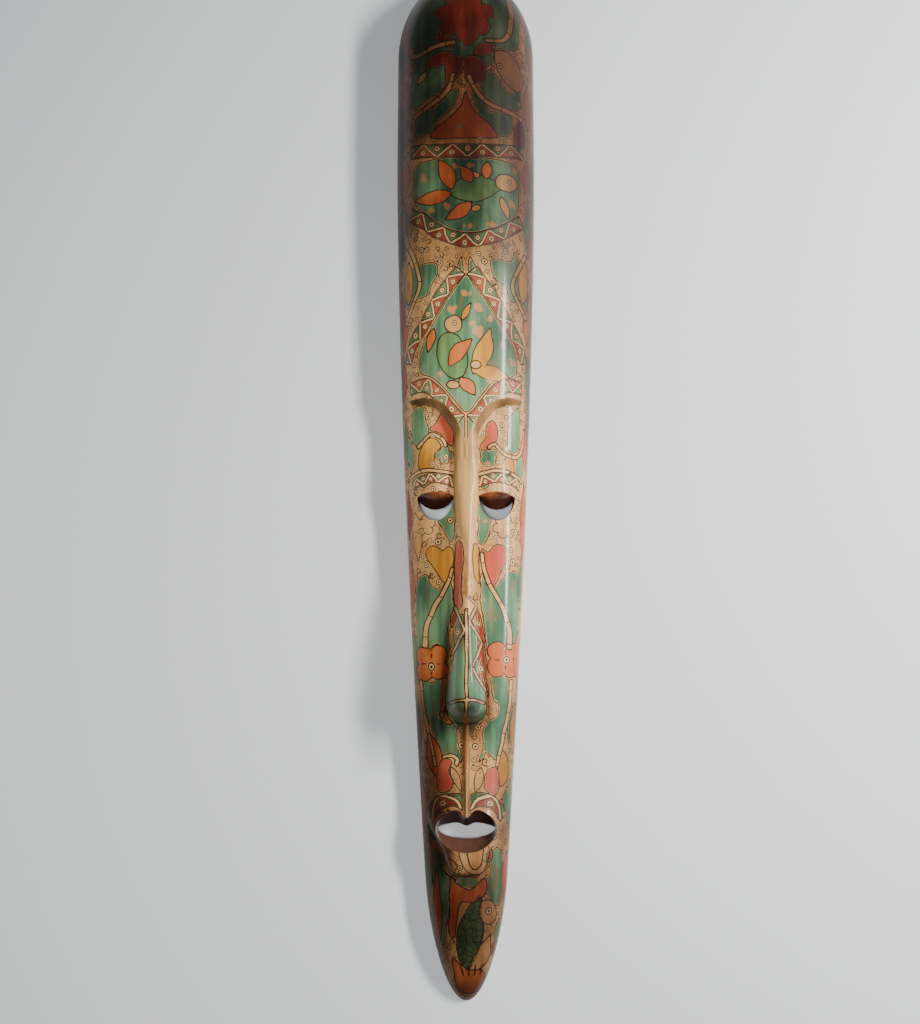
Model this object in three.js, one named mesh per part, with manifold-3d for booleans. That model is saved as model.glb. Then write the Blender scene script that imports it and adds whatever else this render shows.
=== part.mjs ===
// A long wooden wall mask, carved from one half log, lying on the flat rim of its hollow back.
// Millimetres. X runs across the face, +Y from the chin to the crown, +Z out of the face.
// The origin is on the back plane, in the middle of the length and of the width.
import * as THREE from "three";
import { mergeVertices } from "three/addons/utils/BufferGeometryUtils.js";
import Module from "manifold-3d";

// Driving dimensions
const maskLength = 1000;
const maskWidth = 137.6;
const archRatio = 0.86; // height of the half log over its half width
const rimWidth = 9.5; // wood left round the hollow, on the back plane
const wallThickness = 11; // wood left behind the middle of the face
const endBlock = 30; // solid wood beyond the hollow, at the crown and at the chin
const recessDepth = 9.5; // how far the face is cut back from the forehead
const browBevel = 8; // width of the bevel under the brow
const browFade = 0.4; // how much of that width is gone at the side
const noseRise = 27; // nose tip above the line of the half log
const noseHalfWidth = 18.5; // at the bulb
const bridgeHalfWidth = 11.6; // between the eyes
const lipRise = 11; // lips above the cheeks
const lipHalfWidth = 28;
const lipTop = 18.5; // upper edge of the upper lip above the corners
const lipNotch = 8; // depth of the notch in that edge
const lipDrop = 20; // lower edge of the lower lip below the corners
const mouthHalfWidth = 26.5; // the opening behind the lips
const mouthTop = 6;
const mouthNotch = 3.5;
const mouthDrop = 9;
const philtrumHalfWidth = 2.6;
const philtrumRise = 3.4;
const eyeHalfWidth = 17;
const eyeTop = 4; // upper edge of an eye above its corners
const eyeDrop = 22.5; // lower edge below the corners
const lidDrop = 10.5; // edge of the lid below the corners
const lidBulge = 4.5; // how far the eyelids swell

// The outline of the half log, as shares of the length and the width
const fullWidthFrom = 0.8;
const taperShare = 0.568;
const taperPower = 1.5;
const chinRound = 0.107;
const crownRound = 0.088;
const archPower = 2.3;
const ridgePower = 1.9; // roundness of the bridge
const bevelPower = 1.2; // roundness of the bevel under the brow

// Where the carving stands, as shares of the length from the chin
const browShare = 0.497; // where the two brows meet
// The upper edge of one brow: shares of the half width, and shares of the length above the meeting
const browLine = [
  [0.075, 0.017],
  [0.18, 0.029],
  [0.36, 0.042],
  [0.585, 0.048],
  [0.765, 0.049],
  [0.88, 0.048],
];
const eyeShare = 0.4525;
const noseTipShare = 0.262;
const mouthShare = 0.151;
const moundFootShare = 0.109;

// How fine the facets are
const archColumns = 40;
const endRows = 9;
const browPoints = 14;
const bevelDepths = [1, 0.9, 0.72, 0.5, 0.3, 0.12, 0];
const outlinePoints = 28;

// Small working allowances
const embed = 4; // how deep an added form is rooted in the wood
const crestHalfWidth = 0.35; // keeps the two sides of the bridge apart
const noseSink = 0.3; // how far the nose starts below the bridge
const cutPast = 6; // how far a cut runs past the wood
const facetSlack = 0.05; // facets flatter than this are joined
const sidePass = 0.97; // share of the half width where the recess runs out
const eyeNarrowing = 0.92; // width of an eye at the back over its width in front
const eyeInset = 0.6; // how far the back of an eye moves in
const notchReach = 0.2; // width of the lip's notch, as a share of the lip's half width
const hollowPower = 2.5;
const hollowRound = 0.085; // share of the length over which the hollow's ends close

const wasm = await Module();
wasm.setup();

const clamp = (value, low, high) => Math.min(high, Math.max(low, value));
const mix = (a, b, share) => a + (b - a) * share;
const range = (count) => Array.from({ length: count }, (_, i) => i);
const signedPower = (value, power) => Math.sign(value) * Math.abs(value) ** power;

function smoothStep(from, to, value) {
  const share = clamp((value - from) / (to - from), 0, 1);
  return share * share * (3 - 2 * share);
}

// A smooth curve through [place, value] stations, flat beyond the first and the last
function curveThrough(stations) {
  return (place) => {
    const last = stations.length - 1;
    if (place <= stations[0][0]) return stations[0][1];
    if (place >= stations[last][0]) return stations[last][1];
    const i = stations.findIndex((station) => station[0] > place) - 1;
    const slope = (k) => {
      if (k === 0 || k === last) return 0;
      const [before, after] = [stations[k - 1], stations[k + 1]];
      return (after[1] - before[1]) / (after[0] - before[0]);
    };
    const [x0, y0] = stations[i];
    const [x1, y1] = stations[i + 1];
    const span = x1 - x0;
    const s = (place - x0) / span;
    const rise = s * s * (3 - 2 * s);
    const early = s * (1 - s) * (1 - s) * span * slope(i);
    const late = s * s * (s - 1) * span * slope(i + 1);
    return mix(y0, y1, rise) + early + late;
  };
}

// The half log

const yOf = (share) => (share - 0.5) * maskLength;
const shareOf = (y) => y / maskLength + 0.5;

// 1 along the log, falling to 0 round an end, given the distance from that end
function roundEnd(share, reach) {
  return share >= reach ? 1 : Math.sqrt(Math.max(0, 1 - (1 - share / reach) ** 2));
}

// Half the width of the tapering log before its ends are rounded
function taperedWidth(share) {
  const taper = (Math.max(0, fullWidthFrom - share) / fullWidthFrom) ** taperPower;
  return (maskWidth / 2) * (1 - taperShare * taper);
}

function halfWidth(share) {
  return taperedWidth(share) * roundEnd(share, chinRound) * roundEnd(1 - share, crownRound);
}

// Height of the uncut log at x
function logHeight(x, share) {
  const w = halfWidth(share);
  if (w <= 0 || Math.abs(x) >= w) return 0;
  return archRatio * w * (1 - (Math.abs(x) / w) ** archPower) ** (1 / archPower);
}

// The face, cut back from the log below the brow

function recessAt(share) {
  return recessDepth * smoothStep(0.02, 0.16, share);
}

function lidSwell(x, share) {
  const across = (Math.abs(x) - eyeX()) / (1.45 * eyeHalfWidth);
  const along = (share - eyeShare - 0.016) / 0.034;
  return lidBulge * Math.max(0, 1 - across * across - along * along) ** 1.5;
}

function faceHeight(x, share) {
  if (Math.abs(x) >= halfWidth(share)) return 0;
  const across = x / (sidePass * halfWidth(share));
  return logHeight(x, share) - recessAt(share) * (1 - across * across) + lidSwell(x, share);
}

const eyeX = () => bridgeHalfWidth + eyeHalfWidth;

// A convex flank, from 1 at the crest to 0 at the foot
const flank = (share, power) => (1 - clamp(share, 0, 1) ** power) ** (1 / power);

// The row of places across a section, as shares of the half width, closer together at the sides
function columnShares(count) {
  return range(count + 1).map((i) => signedPower(Math.cos((Math.PI * i) / count), 0.9));
}

// Shares of the length, closer together at both ends and where the carving is fine
function rowShares() {
  const quarter = (i) => 1 - Math.cos((Math.PI * i) / (2 * endRows));
  const chin = range(endRows + 1).slice(1).map((i) => chinRound * quarter(i));
  const crown = range(endRows + 1).slice(1).map((i) => 1 - crownRound * quarter(i));
  const between = [];
  for (let share = chinRound + 0.024; share < 1 - crownRound - 0.01; share += share < 0.56 ? 0.0165 : 0.05) {
    between.push(share);
  }
  return [...chin, ...between, ...crown.reverse()];
}

// Solids from rings of points

function solidFrom(points, triangles) {
  const geometry = new THREE.BufferGeometry();
  const flat = points.flatMap((p) => [p.x, p.y, p.z]);
  geometry.setAttribute("position", new THREE.Float32BufferAttribute(flat, 3));
  geometry.setIndex(triangles.flat());
  const merged = mergeVertices(geometry, 1e-4);
  const index = merged.index.array;
  const corners = range(index.length / 3)
    .map((i) => [index[3 * i], index[3 * i + 1], index[3 * i + 2]])
    .filter(([a, b, c]) => a !== b && b !== c && c !== a);
  const vertProperties = merged.attributes.position.array;
  const manifold = (triVerts) => new wasm.Manifold(new wasm.Mesh({ numProp: 3, vertProperties, triVerts }));
  const made = manifold(new Uint32Array(corners.flat()));
  return made.volume() > 0 ? made : manifold(new Uint32Array(corners.flat()).reverse());
}

// Closed rings of equal count joined in order. Each end closes on a point, or on the triangles of `cap`.
function loft(rings, firstTip, lastTip, cap) {
  const count = rings[0].length;
  const points = rings.flat();
  const triangles = [];
  for (let r = 0; r + 1 < rings.length; r += 1) {
    for (let i = 0; i < count; i += 1) {
      const [a, b] = [r * count + i, r * count + ((i + 1) % count)];
      triangles.push([a, b, b + count], [a, b + count, a + count]);
    }
  }
  const lastRing = (rings.length - 1) * count;
  if (cap) {
    cap.forEach(([a, b, c]) => triangles.push([c, b, a], [lastRing + a, lastRing + b, lastRing + c]));
    return solidFrom(points, triangles);
  }
  const first = points.push(firstTip) - 1;
  const last = points.push(lastTip) - 1;
  for (let i = 0; i < count; i += 1) {
    const next = (i + 1) % count;
    triangles.push([first, next, i], [last, lastRing + i, lastRing + next]);
  }
  return solidFrom(points, triangles);
}

const middleOf = (ring) =>
  ring.reduce((sum, p) => sum.add(p), new THREE.Vector3()).divideScalar(ring.length);

// The uncut half log, flat below
function halfLog() {
  const rings = rowShares().map((share) =>
    columnShares(archColumns).map((across) => {
      const x = across * halfWidth(share);
      return new THREE.Vector3(x, yOf(share), logHeight(x, share));
    }),
  );
  return loft(rings, new THREE.Vector3(0, yOf(0), 0), new THREE.Vector3(0, yOf(1), 0));
}

// Everything above the face, from past the chin to past the brow
function faceCut() {
  const top = maskWidth;
  const past = sidePass + 0.015;
  const rows = rowShares().filter((share) => share > 0.02 && share < browShare + 0.09);
  const rings = rows.map((share) => {
    const w = halfWidth(share);
    const floor = columnShares(archColumns)
      .filter((across) => Math.abs(across) < past)
      .map((across) => new THREE.Vector3(across * w, yOf(share), faceHeight(across * w, share)));
    return [
      new THREE.Vector3(w * past, yOf(share), top),
      ...floor,
      new THREE.Vector3(-w * past, yOf(share), top),
    ];
  });
  return loft(rings, middleOf(rings[0]), middleOf(rings.at(-1)));
}

// The upper edge of the right brow, as [x, y, x and y of its foot] from the bridge to the side
function browEdge() {
  const w = halfWidth(browShare + 0.04);
  const xs = curveThrough([[0, 0], ...browLine.map(([x], i) => [(i + 1) / browLine.length, x * w])]);
  const ys = curveThrough([[0, 0], ...browLine.map(([, y], i) => [(i + 1) / browLine.length, y])]);
  return range(browPoints + 1).map((i) => {
    const step = 0.02;
    const at = i / browPoints;
    const [from, to] = [Math.max(0, at - step), Math.min(1, at + step)];
    const run = new THREE.Vector2(xs(to) - xs(from), (ys(to) - ys(from)) * maskLength).normalize();
    const [x, y] = [xs(at), yOf(browShare + ys(at))];
    const bevel = browBevel * (1 - browFade * at ** 2);
    return [Math.max(crestHalfWidth, x), y, Math.max(bridgeHalfWidth, x + bevel * run.y), y - bevel * run.x];
  });
}

// The forehead, brow and bridge that the face cut leaves standing
function keptBlock() {
  const brow = browEdge();
  const bridgeEnd = yOf(eyeShare);
  // One side of the outline with the roundness of its flank. depth is 0 at the edge, 1 at the foot.
  const side = (depth) => {
    const edge = brow.map(([x, y, footX, footY], i) => ({
      x: mix(x, footX, depth),
      y: mix(y, footY, depth),
      power: mix(ridgePower, bevelPower, clamp(i / 4, 0, 1)),
    }));
    const end = { x: mix(crestHalfWidth, 0.4 * bridgeHalfWidth, depth), y: bridgeEnd, power: ridgePower };
    const low = { x: edge[0].x, y: mix(bridgeEnd, edge[0].y, 0.6), power: ridgePower };
    const out = { x: maskWidth, y: edge.at(-1).y, power: 1 };
    return [end, low, ...edge, out, { x: maskWidth, y: 0.6 * maskLength, power: 1 }];
  };
  const outline = (depth) => {
    const right = side(depth);
    return [...right, ...right.map((p) => ({ ...p, x: -p.x })).reverse()];
  };
  const flatRing = (depth, z) => outline(depth).map(({ x, y }) => new THREE.Vector3(x, y, z));
  const bevelRing = (depth) =>
    outline(depth).map(({ x, y, power }) => {
      const share = shareOf(y);
      return new THREE.Vector3(x, y, mix(faceHeight(x, share), logHeight(x, share), flank(depth, power)));
    });
  const rings = [flatRing(1, -embed), ...bevelDepths.map(bevelRing), flatRing(0, maskWidth)];
  const flat = outline(0.5).map(({ x, y }) => new THREE.Vector2(x, y));
  return loft(rings, null, null, THREE.ShapeUtils.triangulateShape(flat, []));
}

// A form that stands on the face and runs along it. sectionAt gives its height across, from 1 in the middle.
function ridge({ shares, halfWidthAt, topAt, columns, sectionAt }) {
  const rings = shares.map((share) => {
    const w = halfWidthAt(share);
    const upper = range(columns + 1).map((i) => {
      const across = Math.cos((Math.PI * i) / columns);
      const x = across * w;
      const low = faceHeight(x, share);
      return new THREE.Vector3(x, yOf(share), low + topAt(share) * sectionAt(Math.abs(across), share));
    });
    const root = (x) => new THREE.Vector3(x, yOf(share), faceHeight(x, share) - embed);
    return [root(w), ...upper, root(-w)];
  });
  return loft(rings, middleOf(rings[0]), middleOf(rings.at(-1)));
}

const noseWidthAt = curveThrough([
  [noseTipShare, noseHalfWidth],
  [noseTipShare + 0.018, 0.94 * noseHalfWidth],
  [noseTipShare + 0.048, 0.76 * noseHalfWidth],
  [noseTipShare + 0.093, 0.9 * bridgeHalfWidth],
  [eyeShare, bridgeHalfWidth],
]);

function nose() {
  const bulb = noseHalfWidth / maskLength;
  const below = range(7).map((i) => noseTipShare - bulb * Math.cos((Math.PI * (i + 0.25)) / 13));
  const above = range(15).map((i) => mix(noseTipShare + 0.006, browShare - 0.012, i / 14));
  const endRound = (share) => roundEnd(share - noseTipShare + bulb, bulb);
  const growth = (share) => smoothStep(browShare, noseTipShare + 0.01, share);
  return ridge({
    shares: [...below, noseTipShare, ...above],
    halfWidthAt: (share) => noseWidthAt(share) * endRound(share) + crestHalfWidth * growth(share),
    topAt: (share) => (recessAt(share) - noseSink + (noseRise + noseSink) * growth(share)) * endRound(share),
    columns: 18,
    sectionAt: (across) => flank(across, 2.1),
  });
}

const moundWidthAt = curveThrough([
  [moundFootShare, 0.35 * lipHalfWidth],
  [moundFootShare + 0.003, 0.5 * lipHalfWidth],
  [moundFootShare + 0.01, 0.6 * lipHalfWidth],
  [mouthShare - 0.018, 0.78 * lipHalfWidth],
  [mouthShare - 0.007, 1.0 * lipHalfWidth],
  [mouthShare + 0.002, 1.16 * lipHalfWidth],
  [mouthShare + 0.02, 1.3 * lipHalfWidth],
]);
const moundRiseAt = curveThrough([
  [moundFootShare, 0],
  [moundFootShare + 0.004, 0.6 * lipRise],
  [mouthShare - 0.018, 0.95 * lipRise],
  [mouthShare + 0.004, lipRise],
  [mouthShare + 0.02, 0.8 * lipRise],
  [mouthShare + 0.065, 0],
]);

function lipMound() {
  const shares = range(19).map((i) => mix(moundFootShare, mouthShare + 0.06, (i / 18) ** 1.4));
  return ridge({
    shares,
    halfWidthAt: moundWidthAt,
    topAt: moundRiseAt,
    columns: 20,
    sectionAt: (across, share) => {
      const soft = smoothStep(mouthShare - 0.01, mouthShare + 0.02, share);
      return mix(flank(across, 2.8), (1 - across ** 2) ** 1.6, soft);
    },
  });
}

function philtrum() {
  const from = mouthShare + 0.006;
  const to = noseTipShare - 0.008;
  return ridge({
    shares: range(13).map((i) => mix(from, to, i / 12)),
    halfWidthAt: () => philtrumHalfWidth,
    topAt: (share) => moundRiseAt(share) + philtrumRise,
    columns: 6,
    sectionAt: (across) => flank(across, 2),
  });
}

// The hollow of the back, open on the back plane

const hollowFrom = endBlock / maskLength;

function hollowEnds(share) {
  return roundEnd(share - hollowFrom, hollowRound) * roundEnd(1 - hollowFrom - share, hollowRound);
}

function hollowWidth(share) {
  return Math.max(1, (taperedWidth(share) - rimWidth) * hollowEnds(share));
}

function hollowHeight(share) {
  const cutBack = recessAt(share) * (1 - smoothStep(browShare, browShare + 0.12, share));
  return Math.max(1, (archRatio * taperedWidth(share) - wallThickness - cutBack) * hollowEnds(share));
}

function hollow() {
  const [from, to] = [hollowFrom, 1 - hollowFrom];
  const shares = range(31).map((i) => mix(from, to, (1 - Math.cos((Math.PI * (i + 0.4)) / 30.8)) / 2));
  const rings = shares.map((share) => {
    const [w, h] = [hollowWidth(share), hollowHeight(share)];
    return range(36).map((i) => {
      const angle = (2 * Math.PI * i) / 36;
      const [c, s] = [Math.cos(angle), Math.sin(angle)];
      const z = signedPower(s, 2 / hollowPower) * (s > 0 ? h : cutPast);
      return new THREE.Vector3(signedPower(c, 2 / hollowPower) * w, yOf(share), z);
    });
  });
  return loft(rings, new THREE.Vector3(0, yOf(from), 0), new THREE.Vector3(0, yOf(to), 0));
}

// A cut from an outline on the face to one on the hollow's side, each a list of [x, y] in millimetres
function funnel(front, back, frontHeight, backHeight) {
  const places = [-0.9, 0, 1, 2];
  const rings = places.map((depth) =>
    front.map(([x, y], i) => {
      const [bx, by] = back[i];
      const share = clamp(depth, -0.35, 1);
      const z = mix(frontHeight(x, y), backHeight(x, y), depth);
      return new THREE.Vector3(mix(x, bx, share), mix(y, by, share), z);
    }),
  );
  const flat = front.map(([x, y]) => new THREE.Vector2(x, y));
  return loft(rings, null, null, THREE.ShapeUtils.triangulateShape(flat, []));
}

// The ceiling of the hollow, a little lower so that a cut breaks through it
function ceiling(x, y) {
  const share = shareOf(y);
  const across = clamp(Math.abs(x) / hollowWidth(share), 0, 0.97);
  return hollowHeight(share) * (1 - across ** hollowPower) ** (1 / hollowPower) - 1;
}

// An outline from an upper and a lower edge, both functions of the place across, from -1 to 1
function outlineOf(middleX, reach, upper, lower) {
  const right = range(outlinePoints).map((i) => Math.cos((Math.PI * i) / outlinePoints));
  const above = right.map((across) => [middleX + across * reach, upper(across)]);
  const below = right.map((across) => [middleX - across * reach, lower(-across)]);
  return [...above, ...below];
}

const bow = (across, power = 1) => Math.max(0, 1 - across * across) ** (power / 2);
const notch = (across) => Math.exp(-((across / notchReach) ** 2));

// An eye: a half-moon on the face that closes to a crescent behind the lid
function eye(side) {
  const y = yOf(eyeShare);
  const lower = (across) => y - eyeDrop * bow(across, 1.1);
  const upper = (across) => y + eyeTop * bow(across, 1.5);
  const lid = (across) => y - lidDrop * bow(across, 1.3);
  const front = outlineOf(side * eyeX(), eyeHalfWidth, upper, lower);
  const behind = eyeNarrowing * eyeHalfWidth;
  const back = outlineOf(side * (eyeX() - eyeInset), behind, lid, (a) => lower(a) + eyeInset);
  return funnel(front, back, (x, py) => faceHeight(x, shareOf(py)), ceiling);
}

// The mouth: the outline of the lips on the face that closes to a narrower opening
function mouth() {
  const y = yOf(mouthShare);
  const lips = (across) => y + lipTop * (1 - Math.abs(across) ** 3) ** 0.5 - lipNotch * notch(across);
  const opening = (across) => y + mouthTop * bow(across, 1.4) - mouthNotch * notch(across);
  const front = outlineOf(0, lipHalfWidth, lips, (a) => y - lipDrop * bow(a));
  const back = outlineOf(0, mouthHalfWidth, opening, (a) => y - mouthDrop * bow(a, 1.2));
  const lipHeight = (x, py) => faceHeight(x, shareOf(py)) + moundRiseAt(shareOf(py));
  return funnel(front, back, lipHeight, (x, py) => ceiling(x, py) + lipRise / 2);
}

function carvedWood() {
  const cut = faceCut().subtract(keptBlock());
  return halfLog()
    .subtract(cut)
    .add(nose())
    .add(lipMound())
    .add(philtrum())
    .subtract(hollow())
    .subtract(eye(1))
    .subtract(eye(-1))
    .subtract(mouth())
    .asOriginal()
    .simplify(facetSlack);
}

function geometryOf(solid) {
  const mesh = solid.getMesh();
  const geometry = new THREE.BufferGeometry();
  geometry.setAttribute("position", new THREE.BufferAttribute(new Float32Array(mesh.vertProperties), 3));
  geometry.setIndex(new THREE.BufferAttribute(new Uint32Array(mesh.triVerts), 1));
  geometry.computeVertexNormals();
  return geometry;
}

const paintedWood = new THREE.MeshStandardMaterial({ color: 0xb98f62, roughness: 0.38, metalness: 0 });
const mask = new THREE.Mesh(geometryOf(carvedWood()), paintedWood);
mask.name = "mask";

const wallMask = new THREE.Group();
wallMask.add(mask);

export default wallMask;
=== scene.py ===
"""Looks of a long carved and painted wooden wall mask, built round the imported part.

The mask lies on its flat back. Shapes are worked out in millimetres and set in metres when a mesh is made.
+X runs across the face, +Y from the chin to the crown, +Z out of the face.
"""

import logging
import math
from dataclasses import dataclass
from enum import Enum
from functools import cached_property

import bpy
import numpy as np
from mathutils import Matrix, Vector

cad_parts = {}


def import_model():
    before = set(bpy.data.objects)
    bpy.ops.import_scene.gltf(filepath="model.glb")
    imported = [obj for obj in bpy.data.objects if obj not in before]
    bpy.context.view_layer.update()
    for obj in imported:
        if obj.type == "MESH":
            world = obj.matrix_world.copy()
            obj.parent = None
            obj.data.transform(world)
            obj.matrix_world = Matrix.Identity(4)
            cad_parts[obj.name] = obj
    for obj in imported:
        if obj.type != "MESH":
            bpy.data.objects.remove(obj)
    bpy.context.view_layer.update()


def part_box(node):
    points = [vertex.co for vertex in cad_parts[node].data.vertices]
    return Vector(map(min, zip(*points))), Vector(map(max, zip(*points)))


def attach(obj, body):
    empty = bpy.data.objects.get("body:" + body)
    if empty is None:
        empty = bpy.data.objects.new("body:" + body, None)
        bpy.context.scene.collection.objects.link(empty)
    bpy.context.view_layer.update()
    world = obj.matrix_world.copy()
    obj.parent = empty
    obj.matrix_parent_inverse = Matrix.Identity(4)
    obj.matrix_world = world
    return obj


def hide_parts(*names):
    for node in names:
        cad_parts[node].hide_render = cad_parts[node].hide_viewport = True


LOG = logging.getLogger("wall_mask")
SEED = 7

# A metre, and how far from an outline its distance is still worked out, in millimetres.
METRE = 1000.0
FAR = 9.0

Grid = np.ndarray
Socket = bpy.types.NodeSocket
Triple = tuple[float, float, float]
Colour = Triple
Span = tuple[float, float]
Points = list[Span]
Line = tuple[Span, ...]


class Finish(Enum):
    """The finishes of the wood, each with the number of its material."""

    PAINT = 0
    HOLLOW = 1
    LID = 2
    LIP = 3


class Tint(Enum):
    """What is laid on the cream ground, in the order of the layers, named as the attribute that holds it."""

    GREEN = "ground_green"
    OLIVE = "body_olive"
    OCHRE = "leaf_ochre"
    TAN = "body_tan"
    ORANGE = "leaf_orange"
    SALMON = "leaf_salmon"
    RED = "leaf_red"
    BLUSH = "spot_blush"
    CREAM = "stem_cream"
    LINE = "drawn_line"
    BARE = "bare_wood"


Outlines = dict[Tint, list[Grid]]


# How much an outline frays, against one another.
FRAYED = {Tint.GREEN: 2.2, Tint.CREAM: 0.2, Tint.LINE: 0.2, Tint.BLUSH: 5.0}
PLAIN_FRAY = 0.6


class Mark(Enum):
    """Small signs set on the ground, each with the number that the shader knows it by."""

    RING = 0.0
    CURL = 1.0


def smooth_step(low: float, high: float, value: Grid) -> Grid:
    """0 below low, 1 above high, with a smooth S between them."""
    share = np.clip((value - low) / (high - low), 0.0, 1.0)
    return share * share * (3.0 - 2.0 * share)


def blend(a: Grid, b: Grid, share: Grid) -> Grid:
    """a where share is 0, b where it is 1."""
    return a + (b - a) * share


def round_end(share: Grid, reach: float) -> Grid:
    """1 along a form, falling as a quarter circle to 0 at its end, given the distance from that end."""
    return np.sqrt(np.clip(1.0 - (1.0 - np.clip(share / reach, 0.0, 1.0)) ** 2, 0.0, 1.0))


def flank(share: Grid, power: Grid) -> Grid:
    """A convex slope from 1 at the crest (0) to 0 at the foot (1), a quarter of a superellipse."""
    return (1.0 - np.clip(share, 0.0, 1.0) ** power) ** (1.0 / power)


def curve(place: Grid, stations: Points) -> Grid:
    """A smooth curve through stations, each a place and a value, level beyond the first and the last.

    Args:
        place: where the curve is read.
        stations: pairs of place and value, in order.

    Returns:
        The Hermite curve whose slope at a station is that of the line between its two neighbours.
    """
    x = np.array([s[0] for s in stations])
    y = np.array([s[1] for s in stations])
    slope = np.zeros_like(x)
    slope[1:-1] = (y[2:] - y[:-2]) / (x[2:] - x[:-2])
    at = np.clip(place, x[0], x[-1])
    i = np.clip(np.searchsorted(x, at, side="right") - 1, 0, len(x) - 2)
    span = x[i + 1] - x[i]
    s = (at - x[i]) / span
    rise = s * s * (3.0 - 2.0 * s)
    early = s * (1.0 - s) ** 2 * span * slope[i]
    late = s * s * (s - 1.0) * span * slope[i + 1]
    return blend(y[i], y[i + 1], rise) + early + late


def polygon_distance(points: Grid, x: Grid, y: Grid) -> Grid:
    """Distance from every (x, y) to a closed outline, less than 0 inside it.

    Args:
        points: the outline's corners, one row each.
        x: places across.
        y: places along.

    Returns:
        The least distance to any side, with its sign turned for places that the outline winds round.
    """
    near = np.full(x.shape, np.inf)
    inside = np.zeros(x.shape, bool)
    for (ax, ay), (bx, by) in zip(points, np.roll(points, -1, axis=0)):
        run_x, run_y = bx - ax, by - ay
        square = run_x * run_x + run_y * run_y
        if square == 0.0:
            continue
        share = np.clip(((x - ax) * run_x + (y - ay) * run_y) / square, 0.0, 1.0)
        near = np.minimum(near, (x - ax - share * run_x) ** 2 + (y - ay - share * run_y) ** 2)
        crosses = (ay > y) != (by > y)
        if run_y:
            inside ^= crosses & (x < ax + (y - ay) * run_x / run_y)
    return np.where(inside, -1.0, 1.0) * np.sqrt(near)


def joined(rows: int, count: int) -> tuple[Grid, Grid, Grid]:
    """Faces that join closed rings of points one to the next.

    Args:
        rows: how many rings there are.
        count: how many points a ring has.

    Returns:
        The number of each point, that of the next one in its ring, and the faces, four corners each.
    """
    here = np.arange(rows * count).reshape(rows, count)
    beside = np.roll(here, -1, axis=1)
    return here, beside, np.stack([here[:-1], here[1:], beside[1:], beside[:-1]], axis=2).reshape(-1, 4)


def new_mesh(name: str, points: Grid, faces: list[list[int]], length: float) -> bpy.types.Mesh:
    """A mesh in metres with the wood's middle at the origin.

    Args:
        name: name of the mesh.
        points: its points, in millimetres from the chin.
        faces: the corners of each face.
        length: the wood's length.

    Returns:
        The mesh.
    """
    mesh = bpy.data.meshes.new(name)
    mesh.from_pydata((points - (0.0, length / 2, 0.0)) / METRE, [], faces)
    mesh.update()
    return mesh


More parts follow.
